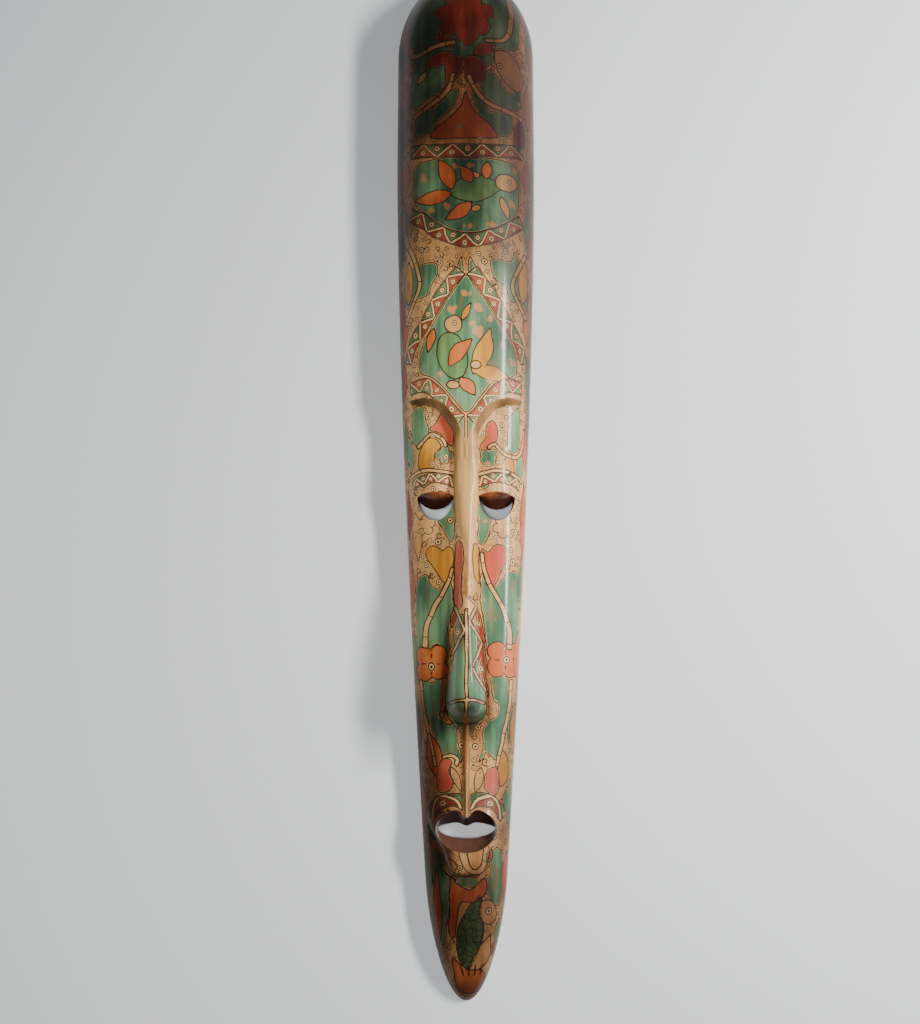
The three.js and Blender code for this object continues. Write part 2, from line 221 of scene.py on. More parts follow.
@dataclass(frozen=True)
class Carving:
    """The form of the wood, worked out from the length and width of the solid.

    Names that end in share are shares of the length, powers have no unit, and the rest is in millimetres.
    """

    length: float
    width: float
    arch_ratio: float = 0.86
    arch_power: float = 2.3
    full_width_from: float = 0.8
    taper_share: float = 0.568
    taper_power: float = 1.5
    chin_round: float = 0.107
    crown_round: float = 0.088
    rim: float = 9.5
    wall: float = 11.0
    end_block: float = 30.0
    hollow_power: float = 2.5
    hollow_round: float = 0.085
    recess_depth: float = 9.5
    side_pass: float = 0.97
    brow_share: float = 0.497
    brow_bevel: float = 8.0
    brow_fade: float = 0.4
    ridge_power: float = 1.9
    bevel_power: float = 1.2
    crest_half: float = 0.35
    bridge_half: float = 11.6
    nose_half: float = 18.5
    nose_rise: float = 27.0
    nose_sink: float = 0.3
    nose_tip: float = 0.262
    nose_power: float = 2.1
    eye_share: float = 0.4525
    eye_half: float = 17.0
    eye_top: float = 4.0
    eye_drop: float = 22.5
    lid_drop: float = 10.5
    lid_bulge: float = 4.5
    swell_half: float = 1.45
    swell_rise: float = 0.016
    swell_reach: float = 0.034
    eye_inset: float = 0.6
    eye_narrowing: float = 0.92
    mouth_share: float = 0.151
    lip_half: float = 28.0
    lip_rise: float = 11.0
    lip_top: float = 18.5
    lip_notch: float = 8.0
    lip_drop: float = 20.0
    notch_reach: float = 0.2
    mouth_half: float = 26.5
    mouth_top: float = 6.0
    mouth_notch: float = 3.5
    mouth_drop: float = 9.0
    mound_foot: float = 0.109
    philtrum_half: float = 2.6
    philtrum_rise: float = 3.4
    brow_line: Line = (
        (0.0, 0.0), (0.075, 0.017), (0.18, 0.029), (0.36, 0.042), (0.585, 0.048), (0.765, 0.049),
        (0.88, 0.048),
    )

    def tapered(self, share: Grid) -> Grid:
        """Half the width of the tapering log before its ends are rounded."""
        taper = np.clip((self.full_width_from - share) / self.full_width_from, 0.0, 1.0)
        return self.width / 2 * (1.0 - self.taper_share * taper**self.taper_power)

    def half_width(self, share: Grid) -> Grid:
        """Half the width of the mask at a share of its length from the chin."""
        ends = round_end(share, self.chin_round) * round_end(1.0 - share, self.crown_round)
        return self.tapered(share) * ends

    def log_height(self, x: Grid, share: Grid) -> Grid:
        """Height of the uncut half log: half a superellipse over the back plane.

        Args:
            x: places across.
            share: places along, in lengths.

        Returns:
            The height.
        """
        w = np.maximum(self.half_width(share), 1e-6)
        across = np.clip(np.abs(x) / w, 0.0, 1.0)
        return self.arch_ratio * w * (1.0 - across**self.arch_power) ** (1.0 / self.arch_power)

    def recess(self, share: Grid) -> Grid:
        """How far the middle of the face is cut back from the log."""
        return self.recess_depth * smooth_step(0.02, 0.16, share)

    @property
    def eye_x(self) -> float:
        """Middle of an eye, from the centre line."""
        return self.bridge_half + self.eye_half

    def face_height(self, x: Grid, share: Grid) -> Grid:
        """The log less the recess, which runs out as a parabola at the sides, plus the eyelids' swell.

        Args:
            x: places across.
            share: places along, in lengths.

        Returns:
            The height.
        """
        w = np.maximum(self.half_width(share), 1e-6)
        across = np.minimum(np.abs(x) / (self.side_pass * w), 1.0)
        lid_x = (np.abs(x) - self.eye_x) / (self.swell_half * self.eye_half)
        lid_y = (share - self.eye_share - self.swell_rise) / self.swell_reach
        swell = self.lid_bulge * np.maximum(0.0, 1.0 - lid_x**2 - lid_y**2) ** 1.5
        return self.log_height(x, share) - self.recess(share) * (1.0 - across**2) + swell

    @cached_property
    def brow_edges(self) -> tuple[Grid, Grid]:
        """The crest and the foot of the right brow from the bridge to the side, a point in each row.

        Returns:
            Both lines.
        """
        w = float(self.half_width(np.array(self.brow_share + 0.04)))
        count = len(self.brow_line) - 1
        xs = [(i / count, x * w) for i, (x, _) in enumerate(self.brow_line)]
        ys = [(i / count, y * self.length) for i, (_, y) in enumerate(self.brow_line)]
        at = np.linspace(0.0, 1.0, 57)
        x, y = curve(at, xs), curve(at, ys) + self.brow_share * self.length
        run = np.stack([np.gradient(x), np.gradient(y)], 1)
        run /= np.linalg.norm(run, axis=1, keepdims=True)
        bevel = self.brow_bevel * (1.0 - self.brow_fade * at**2)
        foot_x = np.maximum(self.bridge_half, x + bevel * run[:, 1])
        crest = np.stack([np.maximum(self.crest_half, x), y], 1)
        return crest, np.stack([foot_x, y - bevel * run[:, 0]], 1)

    def brow_depth(self, x: Grid, y: Grid) -> Grid:
        """0 on the forehead, 1 on the face, and the share of the way down the bevel between them.

        Args:
            x: places across.
            y: places along.

        Returns:
            The share at each place.
        """
        crest, foot = self.brow_edges
        end_y = self.eye_share * self.length
        far_x, far_y = self.width, 2.0 * self.length
        low_y = blend(end_y, crest[0, 1], 0.6)
        tail = [[-1.0, far_y], [-1.0, end_y]]
        inner = [[self.crest_half, end_y], [self.crest_half, low_y], *crest]
        inner += [[far_x, crest[-1, 1]], [far_x, far_y]]
        outer = [[0.4 * self.bridge_half, end_y], [self.bridge_half, low_y], *foot]
        outer += [[far_x, foot[-1, 1]], [far_x, far_y]]
        to_crest = np.maximum(polygon_distance(np.array(inner + tail), np.abs(x), y), 0.0)
        to_foot = np.maximum(-polygon_distance(np.array(outer + tail), np.abs(x), y), 0.0)
        return np.where(to_foot > 0.0, to_crest / np.maximum(to_crest + to_foot, 1e-9), 1.0)

    def nose_width(self, share: Grid) -> Grid:
        """Half the width of the nose along its length.

        Args:
            share: places along, in lengths.

        Returns:
            The width, with round ends.
        """
        tip, nose = self.nose_tip, self.nose_half
        stations = [
            (tip, nose), (tip + 0.018, 0.94 * nose), (tip + 0.048, 0.76 * nose),
            (tip + 0.093, 0.9 * self.bridge_half), (self.eye_share, self.bridge_half),
        ]
        bulb = nose / self.length
        growth = smooth_step(0.0, 1.0, (self.brow_share - share) / (self.brow_share - tip - 0.01))
        return curve(share, stations) * round_end(share - tip + bulb, bulb) + self.crest_half * growth

    def nose_height(self, share: Grid) -> Grid:
        """Height of the nose's crest over the face.

        Args:
            share: places along, in lengths.

        Returns:
            The height.
        """
        bulb = self.nose_half / self.length
        growth = smooth_step(0.0, 1.0, (self.brow_share - share) / (self.brow_share - self.nose_tip - 0.01))
        top = self.recess(share) - self.nose_sink + (self.nose_rise + self.nose_sink) * growth
        return top * round_end(share - self.nose_tip + bulb, bulb)

    def mound_width(self, share: Grid) -> Grid:
        """Half the width of the swelling that carries the lips.

        Args:
            share: places along, in lengths.

        Returns:
            The width.
        """
        foot, mouth, lip = self.mound_foot, self.mouth_share, self.lip_half
        stations = [
            (foot, 0.35 * lip), (foot + 0.003, 0.5 * lip), (foot + 0.01, 0.6 * lip),
            (mouth - 0.018, 0.78 * lip),
            (mouth - 0.007, lip), (mouth + 0.002, 1.16 * lip), (mouth + 0.02, 1.3 * lip),
        ]
        return curve(share, stations)

    def mound_rise(self, share: Grid) -> Grid:
        """Height of that swelling over the face.

        Args:
            share: places along, in lengths.

        Returns:
            The height.
        """
        foot, mouth, rise = self.mound_foot, self.mouth_share, self.lip_rise
        stations = [
            (foot, 0.0), (foot + 0.004, 0.6 * rise), (mouth - 0.018, 0.95 * rise),
            (mouth + 0.004, rise), (mouth + 0.02, 0.8 * rise), (mouth + 0.065, 0.0),
        ]
        return curve(share, stations)

    def height(self, x: Grid, y: Grid) -> Grid:
        """Height of the carved front over the back plane.

        The face and the log are blended by the depth down the brow's bevel. The nose, the lips' mound and
        the ridge above the lip each stand on the face, and the highest of them all is the surface.

        Args:
            x: places across, from the centre line.
            y: places along, from the chin.

        Returns:
            The height at each place.
        """
        share = y / self.length
        face, log = self.face_height(x, share), self.log_height(x, share)
        rounding = smooth_step(0.0, 30.0, y - self.brow_share * self.length)
        power = blend(self.ridge_power, self.bevel_power, rounding)
        result = blend(face, log, flank(self.brow_depth(x, y), power))
        across = np.abs(x) / np.maximum(self.nose_width(share), 1e-6)
        on_nose = (across < 1.0) & (share < self.brow_share - 0.01)
        nose = face + self.nose_height(share) * flank(across, self.nose_power)
        result = np.where(on_nose, np.maximum(result, nose), result)
        across = np.abs(x) / self.mound_width(share)
        soft = smooth_step(self.mouth_share - 0.01, self.mouth_share + 0.02, share)
        section = blend(flank(across, 2.8), np.maximum(0.0, 1.0 - across**2) ** 1.6, soft)
        in_mound = (across < 1.0) & (share > self.mound_foot) & (share < self.mouth_share + 0.065)
        mound = face + self.mound_rise(share) * section
        result = np.where(in_mound, np.maximum(result, mound), result)
        across = np.abs(x) / self.philtrum_half
        near_lip = share > self.mouth_share + 0.006
        on_ridge = (across < 1.0) & near_lip & (share < self.nose_tip - 0.008)
        ridge = face + (self.mound_rise(share) + self.philtrum_rise) * flank(across, 2.0)
        return np.where(on_ridge, np.maximum(result, ridge), result)

    def hollow_ends(self, share: Grid) -> Grid:
        """1 along the hollow, 0 at its two ends."""
        start = self.end_block / self.length
        return round_end(share - start, self.hollow_round) * round_end(1.0 - start - share, self.hollow_round)

    def hollow_width(self, share: Grid) -> Grid:
        """Half the width of the hollow on the back plane."""
        return np.maximum(0.0, (self.tapered(share) - self.rim) * self.hollow_ends(share))

    def hollow_height(self, share: Grid) -> Grid:
        """Height of the hollow's ceiling over the back plane.

        Args:
            share: places along, in lengths.

        Returns:
            The height, 0 beyond the hollow.
        """
        cut_back = self.recess(share) * (1.0 - smooth_step(self.brow_share, self.brow_share + 0.12, share))
        plain = self.arch_ratio * self.tapered(share) - self.wall - cut_back
        return np.maximum(0.0, plain * self.hollow_ends(share))

    def ceiling(self, x: Grid, y: Grid) -> Grid:
        """The hollow's ceiling over a place, a little lower so that a cut breaks through it.

        Args:
            x: places across.
            y: places along.

        Returns:
            The height.
        """
        share = y / self.length
        across = np.clip(np.abs(x) / np.maximum(self.hollow_width(share), 1e-6), 0.0, 0.97)
        arch = (1.0 - across**self.hollow_power) ** (1.0 / self.hollow_power)
        return self.hollow_height(share) * arch - 1.0


@dataclass
class Shell:
    """The wood as one closed mesh: rings of points round the carved front and the hollow back."""

    carving: Carving
    rows: int = 560
    centre_columns: int = 25
    side_columns: int = 48
    hollow_columns: int = 20
    centre_half: float = 12.0
    fine_steps: int = 150

    def row_places(self) -> Grid:
        """Places along the length, closer together at the ends, under the nose and under the lips.

        The wanted spacing is the least of a plain one and of those that grow away from each fine place.
        The places are spread so that each step is in proportion to it.

        Returns:
            The places of the rows.
        """
        length = self.carving.length
        y = np.linspace(0.0, length, 20001)
        spacing = blend(1.5, 2.1, smooth_step(555.0, 600.0, y))
        nose_end = self.carving.nose_tip * length - self.carving.nose_half
        for place in (0.0, length, nose_end, self.carving.mound_foot * length):
            spacing = np.minimum(spacing, 0.3 + 0.11 * np.abs(y - place))
        done = np.concatenate([[0.0], np.cumsum(0.5 / spacing[1:] + 0.5 / spacing[:-1])])
        return np.interp(np.linspace(0.0, done[-1], self.rows + 2)[1:-1], done, y)

    def even_places(self, x: Grid, y: Grid, count: int) -> Grid:
        """Places across each row that are evenly spaced along the carved surface.

        Args:
            x: fine places across, a row of them for each place along.
            y: the places along, as a column.
            count: how many steps to make.

        Returns:
            Places where the length along the section is a whole number of equal steps.
        """
        z = self.carving.height(x, y + np.zeros_like(x))
        steps = np.hypot(np.diff(x, axis=1), np.diff(z, axis=1))
        run = np.concatenate([np.zeros_like(y), np.cumsum(steps, axis=1)], axis=1)
        run = run / run[:, -1:] + 2.0 * np.arange(len(y))[:, None]
        wanted = np.linspace(0.0, 1.0, count + 1)[None, :] + 2.0 * np.arange(len(y))[:, None]
        return np.interp(wanted.ravel(), run.ravel(), x.ravel()).reshape(wanted.shape)

    def front(self, y: Grid) -> Grid:
        """Points of the carved front, from the right rim over the face to the left rim.

        Args:
            y: the places of the rows, as a column.

        Returns:
            A row of points for each.
        """
        share = y / self.carving.length
        w = self.carving.half_width(share)
        nose = np.where(share < self.carving.brow_share, self.carving.nose_width(share), 0.0)
        middle = np.minimum(np.maximum(nose, self.centre_half), 0.5 * w)
        steps = np.linspace(0.0, 1.0, self.fine_steps)[None, :]
        inner = self.even_places(middle * steps, y, self.centre_columns)
        outer = self.even_places(blend(middle, w, np.sin(steps * math.pi / 2)), y, self.side_columns)
        half = np.concatenate([inner, outer[:, 1:]], axis=1)
        x = np.concatenate([half[:, ::-1], -half[:, 1:]], axis=1)
        z = self.carving.height(x, y + np.zeros_like(x))
        z[:, 0] = z[:, -1] = 0.0
        return np.stack([x, y + np.zeros_like(x), z], axis=2)

    def back(self, y: Grid) -> Grid:
        """Points of the hollow, from its left edge on the back plane over its ceiling to its right edge.

        Args:
            y: the places of the rows, as a column.

        Returns:
            A row of points for each.
        """
        share = y / self.carving.length
        least = np.minimum(1.0, 0.1 * self.carving.half_width(share))
        w = np.maximum(self.carving.hollow_width(share), least)
        angle = np.linspace(0.0, math.pi, self.hollow_columns + 1)[None, :]
        power = 2.0 / self.carving.hollow_power
        x = -np.sign(np.cos(angle)) * np.abs(np.cos(angle)) ** power * w
        z = np.clip(np.sin(angle), 0.0, 1.0) ** power * self.carving.hollow_height(share)
        return np.stack([x, y + np.zeros_like(x), z], axis=2)

    def mesh(self, name: str) -> bpy.types.Mesh:
        """Rings of front and back points joined row to row, and closed on a point at each end.

        Args:
            name: name of the mesh.

        Returns:
            The mesh, with its slots set for paint and hollow.
        """
        y = self.row_places()[:, None]
        rings = np.concatenate([self.front(y), self.back(y)], axis=1)
        rows, count = rings.shape[:2]
        ends = np.array([[0.0, 0.0, 0.0], [0.0, self.carving.length, 0.0]])
        here, beside, quads = joined(rows, count)
        first, last = np.full(count, rows * count), np.full(count, rows * count + 1)
        caps = [np.stack([first, here[0], beside[0]], axis=1), np.stack([last, beside[-1], here[-1]], axis=1)]
        points = np.concatenate([rings.reshape(-1, 3), ends])
        faces = quads.tolist() + np.concatenate(caps).tolist()
        mesh = new_mesh(name, points, faces, self.carving.length)
        painted = np.arange(count) < 2 * (self.centre_columns + self.side_columns)
        slots = np.tile(np.where(painted, Finish.PAINT.value, Finish.HOLLOW.value), rows + 1)
        mesh.polygons.foreach_set("material_index", slots.astype(np.int32))
        return mesh


@dataclass
class Opening:
    """A cut from an outline on the face to a smaller one on the hollow's side."""

    carving: Carving
    levels: int = 9
    points: int = 96

    def ring(self, middle: float, reach: float, upper: Grid, lower: Grid) -> Grid:
        """A closed outline from an upper edge, read right to left, and a lower edge, read left to right.

        Args:
            middle: its middle across.
            reach: half its width.
            upper: places along of the upper edge.
            lower: those of the lower edge.

        Returns:
            Points round it.
        """
        across = self.across()
        x = middle + reach * across
        return np.stack([np.concatenate([x, -x + 2 * middle]), np.concatenate([upper, lower])], axis=1)

    def across(self) -> Grid:
        """Places across an outline's edge, from 1 to just short of -1, closer together at the corners."""
        return np.cos(np.pi * np.arange(self.points // 2) / (self.points // 2))

    def bow(self, power: float = 1.0) -> Grid:
        """A half circle over the places across, raised to a power."""
        return np.maximum(0.0, 1.0 - self.across() ** 2) ** (power / 2)

    def notch(self) -> Grid:
        """A narrow bell in the middle."""
        return np.exp(-((self.across() / self.carving.notch_reach) ** 2))

    def mesh(self, name: str, front: Grid, back: Grid, rise: float, swell: float) -> bpy.types.Mesh:
        """The cut's closed mesh: rings that move from the front outline to the back one as they go down.

        Args:
            name: name of the mesh.
            front: outline on the face.
            back: outline on the hollow's side.
            rise: height of what stands on the face there.
            swell: over 1 the walls are hollowed, under 1 they are rounded.

        Returns:
            A mesh that starts over the face and ends under the hollow's ceiling.
        """
        carving = self.carving
        depth = np.concatenate([[-0.9], np.linspace(0.0, 1.0, self.levels), [2.0]])[:, None]
        inward = np.where(depth < 0.0, depth * 0.35, np.clip(depth, 0.0, 1.0) ** swell)
        share = front[:, 1] / carving.length
        top = carving.face_height(front[:, 0], share) + (carving.mound_rise(share) if rise else 0.0)
        low = carving.ceiling(front[:, 0], front[:, 1]) + rise
        xy = blend(front[None], back[None], inward[:, :, None])
        z = blend(top[None], low[None], depth)
        points = np.concatenate([xy, z[:, :, None]], axis=2).reshape(-1, 3)
        here, _, quads = joined(*z.shape)
        faces = quads.tolist() + [here[0].tolist(), here[-1][::-1].tolist()]
        return new_mesh(name, points, faces, carving.length)

    def eye(self, side: int) -> bpy.types.Mesh:
        """A half moon on the face that closes to a crescent behind the lid.

        Args:
            side: 1 for the right eye, -1 for the left one.

        Returns:
            The cut.
        """
        c = self.carving
        y = c.eye_share * c.length
        lower = y - c.eye_drop * self.bow(1.1)
        front = self.ring(side * c.eye_x, c.eye_half, y + c.eye_top * self.bow(1.5), lower)
        behind = c.eye_narrowing * c.eye_half
        lid = y - c.lid_drop * self.bow(1.3)
        back = self.ring(side * (c.eye_x - c.eye_inset), behind, lid, lower + c.eye_inset)
        return self.mesh(f"eye_cut_{side}", front, back, 0.0, 0.8)

    def mouth(self) -> bpy.types.Mesh:
        """The outline of the lips on the face that closes to a narrower opening.

        Returns:
            The cut.
        """
        c = self.carving
        y = c.mouth_share * c.length
        lips = y + c.lip_top * (1.0 - np.abs(self.across()) ** 3) ** 0.5 - c.lip_notch * self.notch()
        front = self.ring(0.0, c.lip_half, lips, y - c.lip_drop * self.bow())
        opening = y + c.mouth_top * self.bow(1.4) - c.mouth_notch * self.notch()
        back = self.ring(0.0, c.mouth_half, opening, y - c.mouth_drop * self.bow(1.2))
        return self.mesh("mouth_cut", front, back, c.lip_rise / 2, 1.15)


@dataclass(frozen=True)
class Chart:
    """The painted skin laid flat: distance across from the centre line, and distance along from the chin.

    The skin is unrolled as that of the uncut log. A place is known by its turn round the log's section,
    0 at the top and a quarter turn at the back plane.
    """

    carving: Carving
    steps: int = 600
    edge_share: float = 0.9

    @cached_property
    def arc(self) -> tuple[Grid, Grid]:
        """Turns, and the length along the section from the top to each, for a half width of 1.

        Returns:
            Both, as rows.
        """
        turn = np.linspace(0.0, math.pi / 2, self.steps)
        power = 2.0 / self.carving.arch_power
        x = np.sin(turn) ** power
        z = self.carving.arch_ratio * np.cos(turn).clip(0.0, 1.0) ** power
        return turn, np.concatenate([[0.0], np.cumsum(np.hypot(np.diff(x), np.diff(z)))])

    def skin(self, x: Grid, y: Grid, z: Grid) -> Grid:
        """Distance across the flat skin of points on the wood.

        The turn comes from x near the top and from the height near the back plane, where x hardly changes.

        Args:
            x: places across.
            y: places along, from the chin.
            z: heights over the back plane.

        Returns:
            The distance from the centre line along the section, with the sign of x.
        """
        w = np.maximum(self.carving.half_width(y / self.carving.length), 1e-3)
        half_power = self.carving.arch_power / 2.0
        across = np.clip(np.abs(x) / w, 0.0, 1.0)
        up = np.clip(z / (self.carving.arch_ratio * w), 0.0, 1.0)
        turn = blend(np.arcsin(across**half_power), np.arccos(up**half_power), smooth_step(0.8, 0.95, across))
        return np.sign(x) * w * np.interp(turn, *self.arc)

    def flat(self, outline: Grid) -> Grid:
        """An outline read off the mask's front, moved to the flat skin.

        Args:
            outline: points across and along. Near the side they go on along the skin, not across.

        Returns:
            The same points on the flat skin.
        """
        x, y = outline[:, 0], outline[:, 1]
        w = np.maximum(self.carving.half_width(np.clip(y / self.carving.length, 0.02, 0.98)), 1.0)
        inner = np.minimum(np.abs(x), self.edge_share * w)
        turn = np.arcsin((inner / w) ** (self.carving.arch_power / 2.0))
        return np.stack([np.sign(x) * (w * np.interp(turn, *self.arc) + np.abs(x) - inner), y], axis=1)


def rounded(points: Points, steps: int = 5, closed: bool = True) -> Grid:
    """A smooth curve through points.

    Args:
        points: places across and along.
        steps: how many steps to make from point to point.
        closed: whether the last point is joined to the first.

    Returns:
        Points of the curve that leaves each point in the direction between its two neighbours.
    """
    here = np.array(points, float)
    if closed:
        before, after, later = (np.roll(here, -k, axis=0) for k in (-1, 1, 2))
    else:
        whole = np.concatenate([here[:1], here, here[-1:]])
        before, here, after, later = whole[:-3], whole[1:-2], whole[2:-1], whole[3:]
    s = (np.arange(steps) / steps)[None, :, None]
    a, b, c, d = (p[:, None, :] for p in (before, here, after, later))
    bend = (2 * a - 5 * b + 4 * c - d) * s**2 + (3 * b - a - 3 * c + d) * s**3
    result = (0.5 * (2 * b + (c - a) * s + bend)).reshape(-1, 2)
    return result if closed else np.concatenate([result, after[-1:]])


def oval(x: float, y: float, half_x: float, half_y: float, turn: float = 0.0) -> Grid:
    """An ellipse's outline.

    Args:
        x: middle across.
        y: middle along.
        half_x: half its width.
        half_y: half its height.
        turn: degrees that it is turned anticlockwise.

    Returns:
        Points round it.
    """
    t = np.linspace(0.0, 2 * math.pi, 28, endpoint=False)
    a, b = half_x * np.cos(t), half_y * np.sin(t)
    c, s = math.cos(math.radians(turn)), math.sin(math.radians(turn))
    return np.stack([x + a * c - b * s, y + a * s + b * c], axis=1)


def leaf(foot: Span, tip: Span, half: float, bend: float = 0.0) -> Grid:
    """A leaf's outline: two arcs that meet at the foot and at the tip.

    Args:
        foot: where it starts.
        tip: where it ends.
        half: half its greatest width.
        bend: how far its middle is moved to the left of the line from foot to tip.

    Returns:
        Points round it.
    """
    t = np.linspace(0.0, 1.0, 13)
    run = np.array(tip) - np.array(foot)
    left = np.array([-run[1], run[0]]) / max(np.hypot(*run), 1e-9)
    spine = np.array(foot) + t[:, None] * run + (bend * 4 * t * (1 - t))[:, None] * left
    swell = (half * np.sin(math.pi * t**0.85))[:, None] * left
    return np.concatenate([(spine + swell)[:-1], (spine - swell)[:0:-1]])


def ribbon(points: Points, start: float, end: float) -> Grid:
    """The outline of a stem of changing width.

    Args:
        points: places that its middle line runs through.
        start: half its width at the first.
        end: half its width at the last.

    Returns:
        Points round it.
    """
    spine = rounded(points, 5, closed=False)
    run = np.gradient(spine, axis=0)
    run /= np.maximum(np.linalg.norm(run, axis=1, keepdims=True), 1e-9)
    left = np.stack([-run[:, 1], run[:, 0]], axis=1) * np.linspace(start, end, len(spine))[:, None]
    return np.concatenate([spine + left, (spine - left)[::-1]])


def flower(x: float, y: float, radius: float, petals: int, turn: float = 0.0, depth: float = 0.3) -> Grid:
    """A flower's outline.

    Args:
        x: middle across.
        y: middle along.
        radius: from the middle to a petal's tip.
        petals: how many petals.
        turn: degrees that it is turned anticlockwise.
        depth: share of the radius that the gaps between petals cut in.

    Returns:
        Points round it.
    """
    t = np.linspace(0.0, 2 * math.pi, 16 * petals, endpoint=False)
    r = radius * (1.0 - depth + depth * np.abs(np.cos(petals * t / 2)) ** 0.7)
    t = t + math.radians(turn)
    return np.stack([x + r * np.cos(t), y + r * np.sin(t)], axis=1)


def ripple(u: Grid, v: Grid, length: float, seed: int) -> Grid:
    """Smooth unevenness from -1 to 1: the mean of a few waves in random directions.

    Args:
        u: places across.
        v: places along.
        length: mean wave length.
        seed: which waves to take.

    Returns:
        The unevenness at each place.
    """
    random = np.random.default_rng(SEED + seed)
    total = np.zeros_like(u)
    for angle, phase, scale in random.uniform(0.0, 1.0, (7, 3)):
        way = 2 * math.pi * angle
        wave = 2 * math.pi * (0.7 + 0.8 * scale) / length
        total += np.sin(wave * (u * math.cos(way) + v * math.sin(way)) + 2 * math.pi * phase)
    return total / 3.5


def track(line: Grid, u: Grid, v: Grid) -> tuple[Grid, Grid, float]:
    """Where each place lies beside a line of straight sides, the first and the last of them without end.

    Args:
        line: the line's points.
        u: places across.
        v: places along.

    Returns:
        Distance along the line of the nearest point on it, distance from it, more than 0 on its left, and
        the line's length.
    """
    near = np.full(u.shape, np.inf)
    along, over = np.zeros(u.shape), np.zeros(u.shape)
    run, last = 0.0, len(line) - 2
    for i, ((ax, ay), (bx, by)) in enumerate(zip(line[:-1], line[1:])):
        size = math.hypot(bx - ax, by - ay)
        tx, ty = (bx - ax) / size, (by - ay) / size
        s = (u - ax) * tx + (v - ay) * ty
        held = np.clip(s, -np.inf if i == 0 else 0.0, np.inf if i == last else size)
        off = np.hypot(u - ax - held * tx, v - ay - held * ty)
        closer = off < near
        near = np.where(closer, off, near)
        along = np.where(closer, run + held, along)
        over = np.where(closer, np.copysign(off, tx * (v - ay) - ty * (u - ax)), over)
        run += size
    return along, over, run


@dataclass(frozen=True)
class Band:
    """A row of triangles between two lines, with a ring in each triangle."""

    points: Line
    height: float
    period: float

    def places(self, chart: Chart, u: Grid, v: Grid) -> tuple[Grid, Grid, Grid]:
        """Where each place lies in the band, from the band's lower line on its right.

        Args:
            chart: the flat skin.
            u: places across.
            v: places along.

        Returns:
            Place along in periods, place across in heights, and the distance to the band, less than 0 in it.
        """
        line = chart.flat(rounded(list(self.points), 4, closed=False))
        along, over, run = track(line, u, v)
        distance = np.maximum(np.maximum(-over, over - self.height), np.maximum(-along, along - run))
        count = max(1, round(run / self.period))
        return along * count / run, over / self.height, distance


@dataclass(frozen=True)
class Stem:
    """A cream stem of changing width, jointed like bamboo."""

    points: Line
    start: float = 1.8
    end: float = 1.8

    def outline(self) -> Grid:
        """Points round it."""
        return ribbon(list(self.points), self.start, self.end)

    def places(self, chart: Chart, u: Grid, v: Grid) -> tuple[Grid, Grid]:
        """Distance along the stem, and the distance from its middle line."""
        along, over, run = track(chart.flat(rounded(list(self.points), 4, closed=False)), u, v)
        return along, np.hypot(over, np.maximum(0.0, np.maximum(-along, along - run)))


def between(rise: Span, fall: Span, value: Grid) -> Grid:
    """1 between two spans, setting in over the first and running out over the second."""
    return smooth_step(*rise, value) * (1.0 - smooth_step(*fall, value))


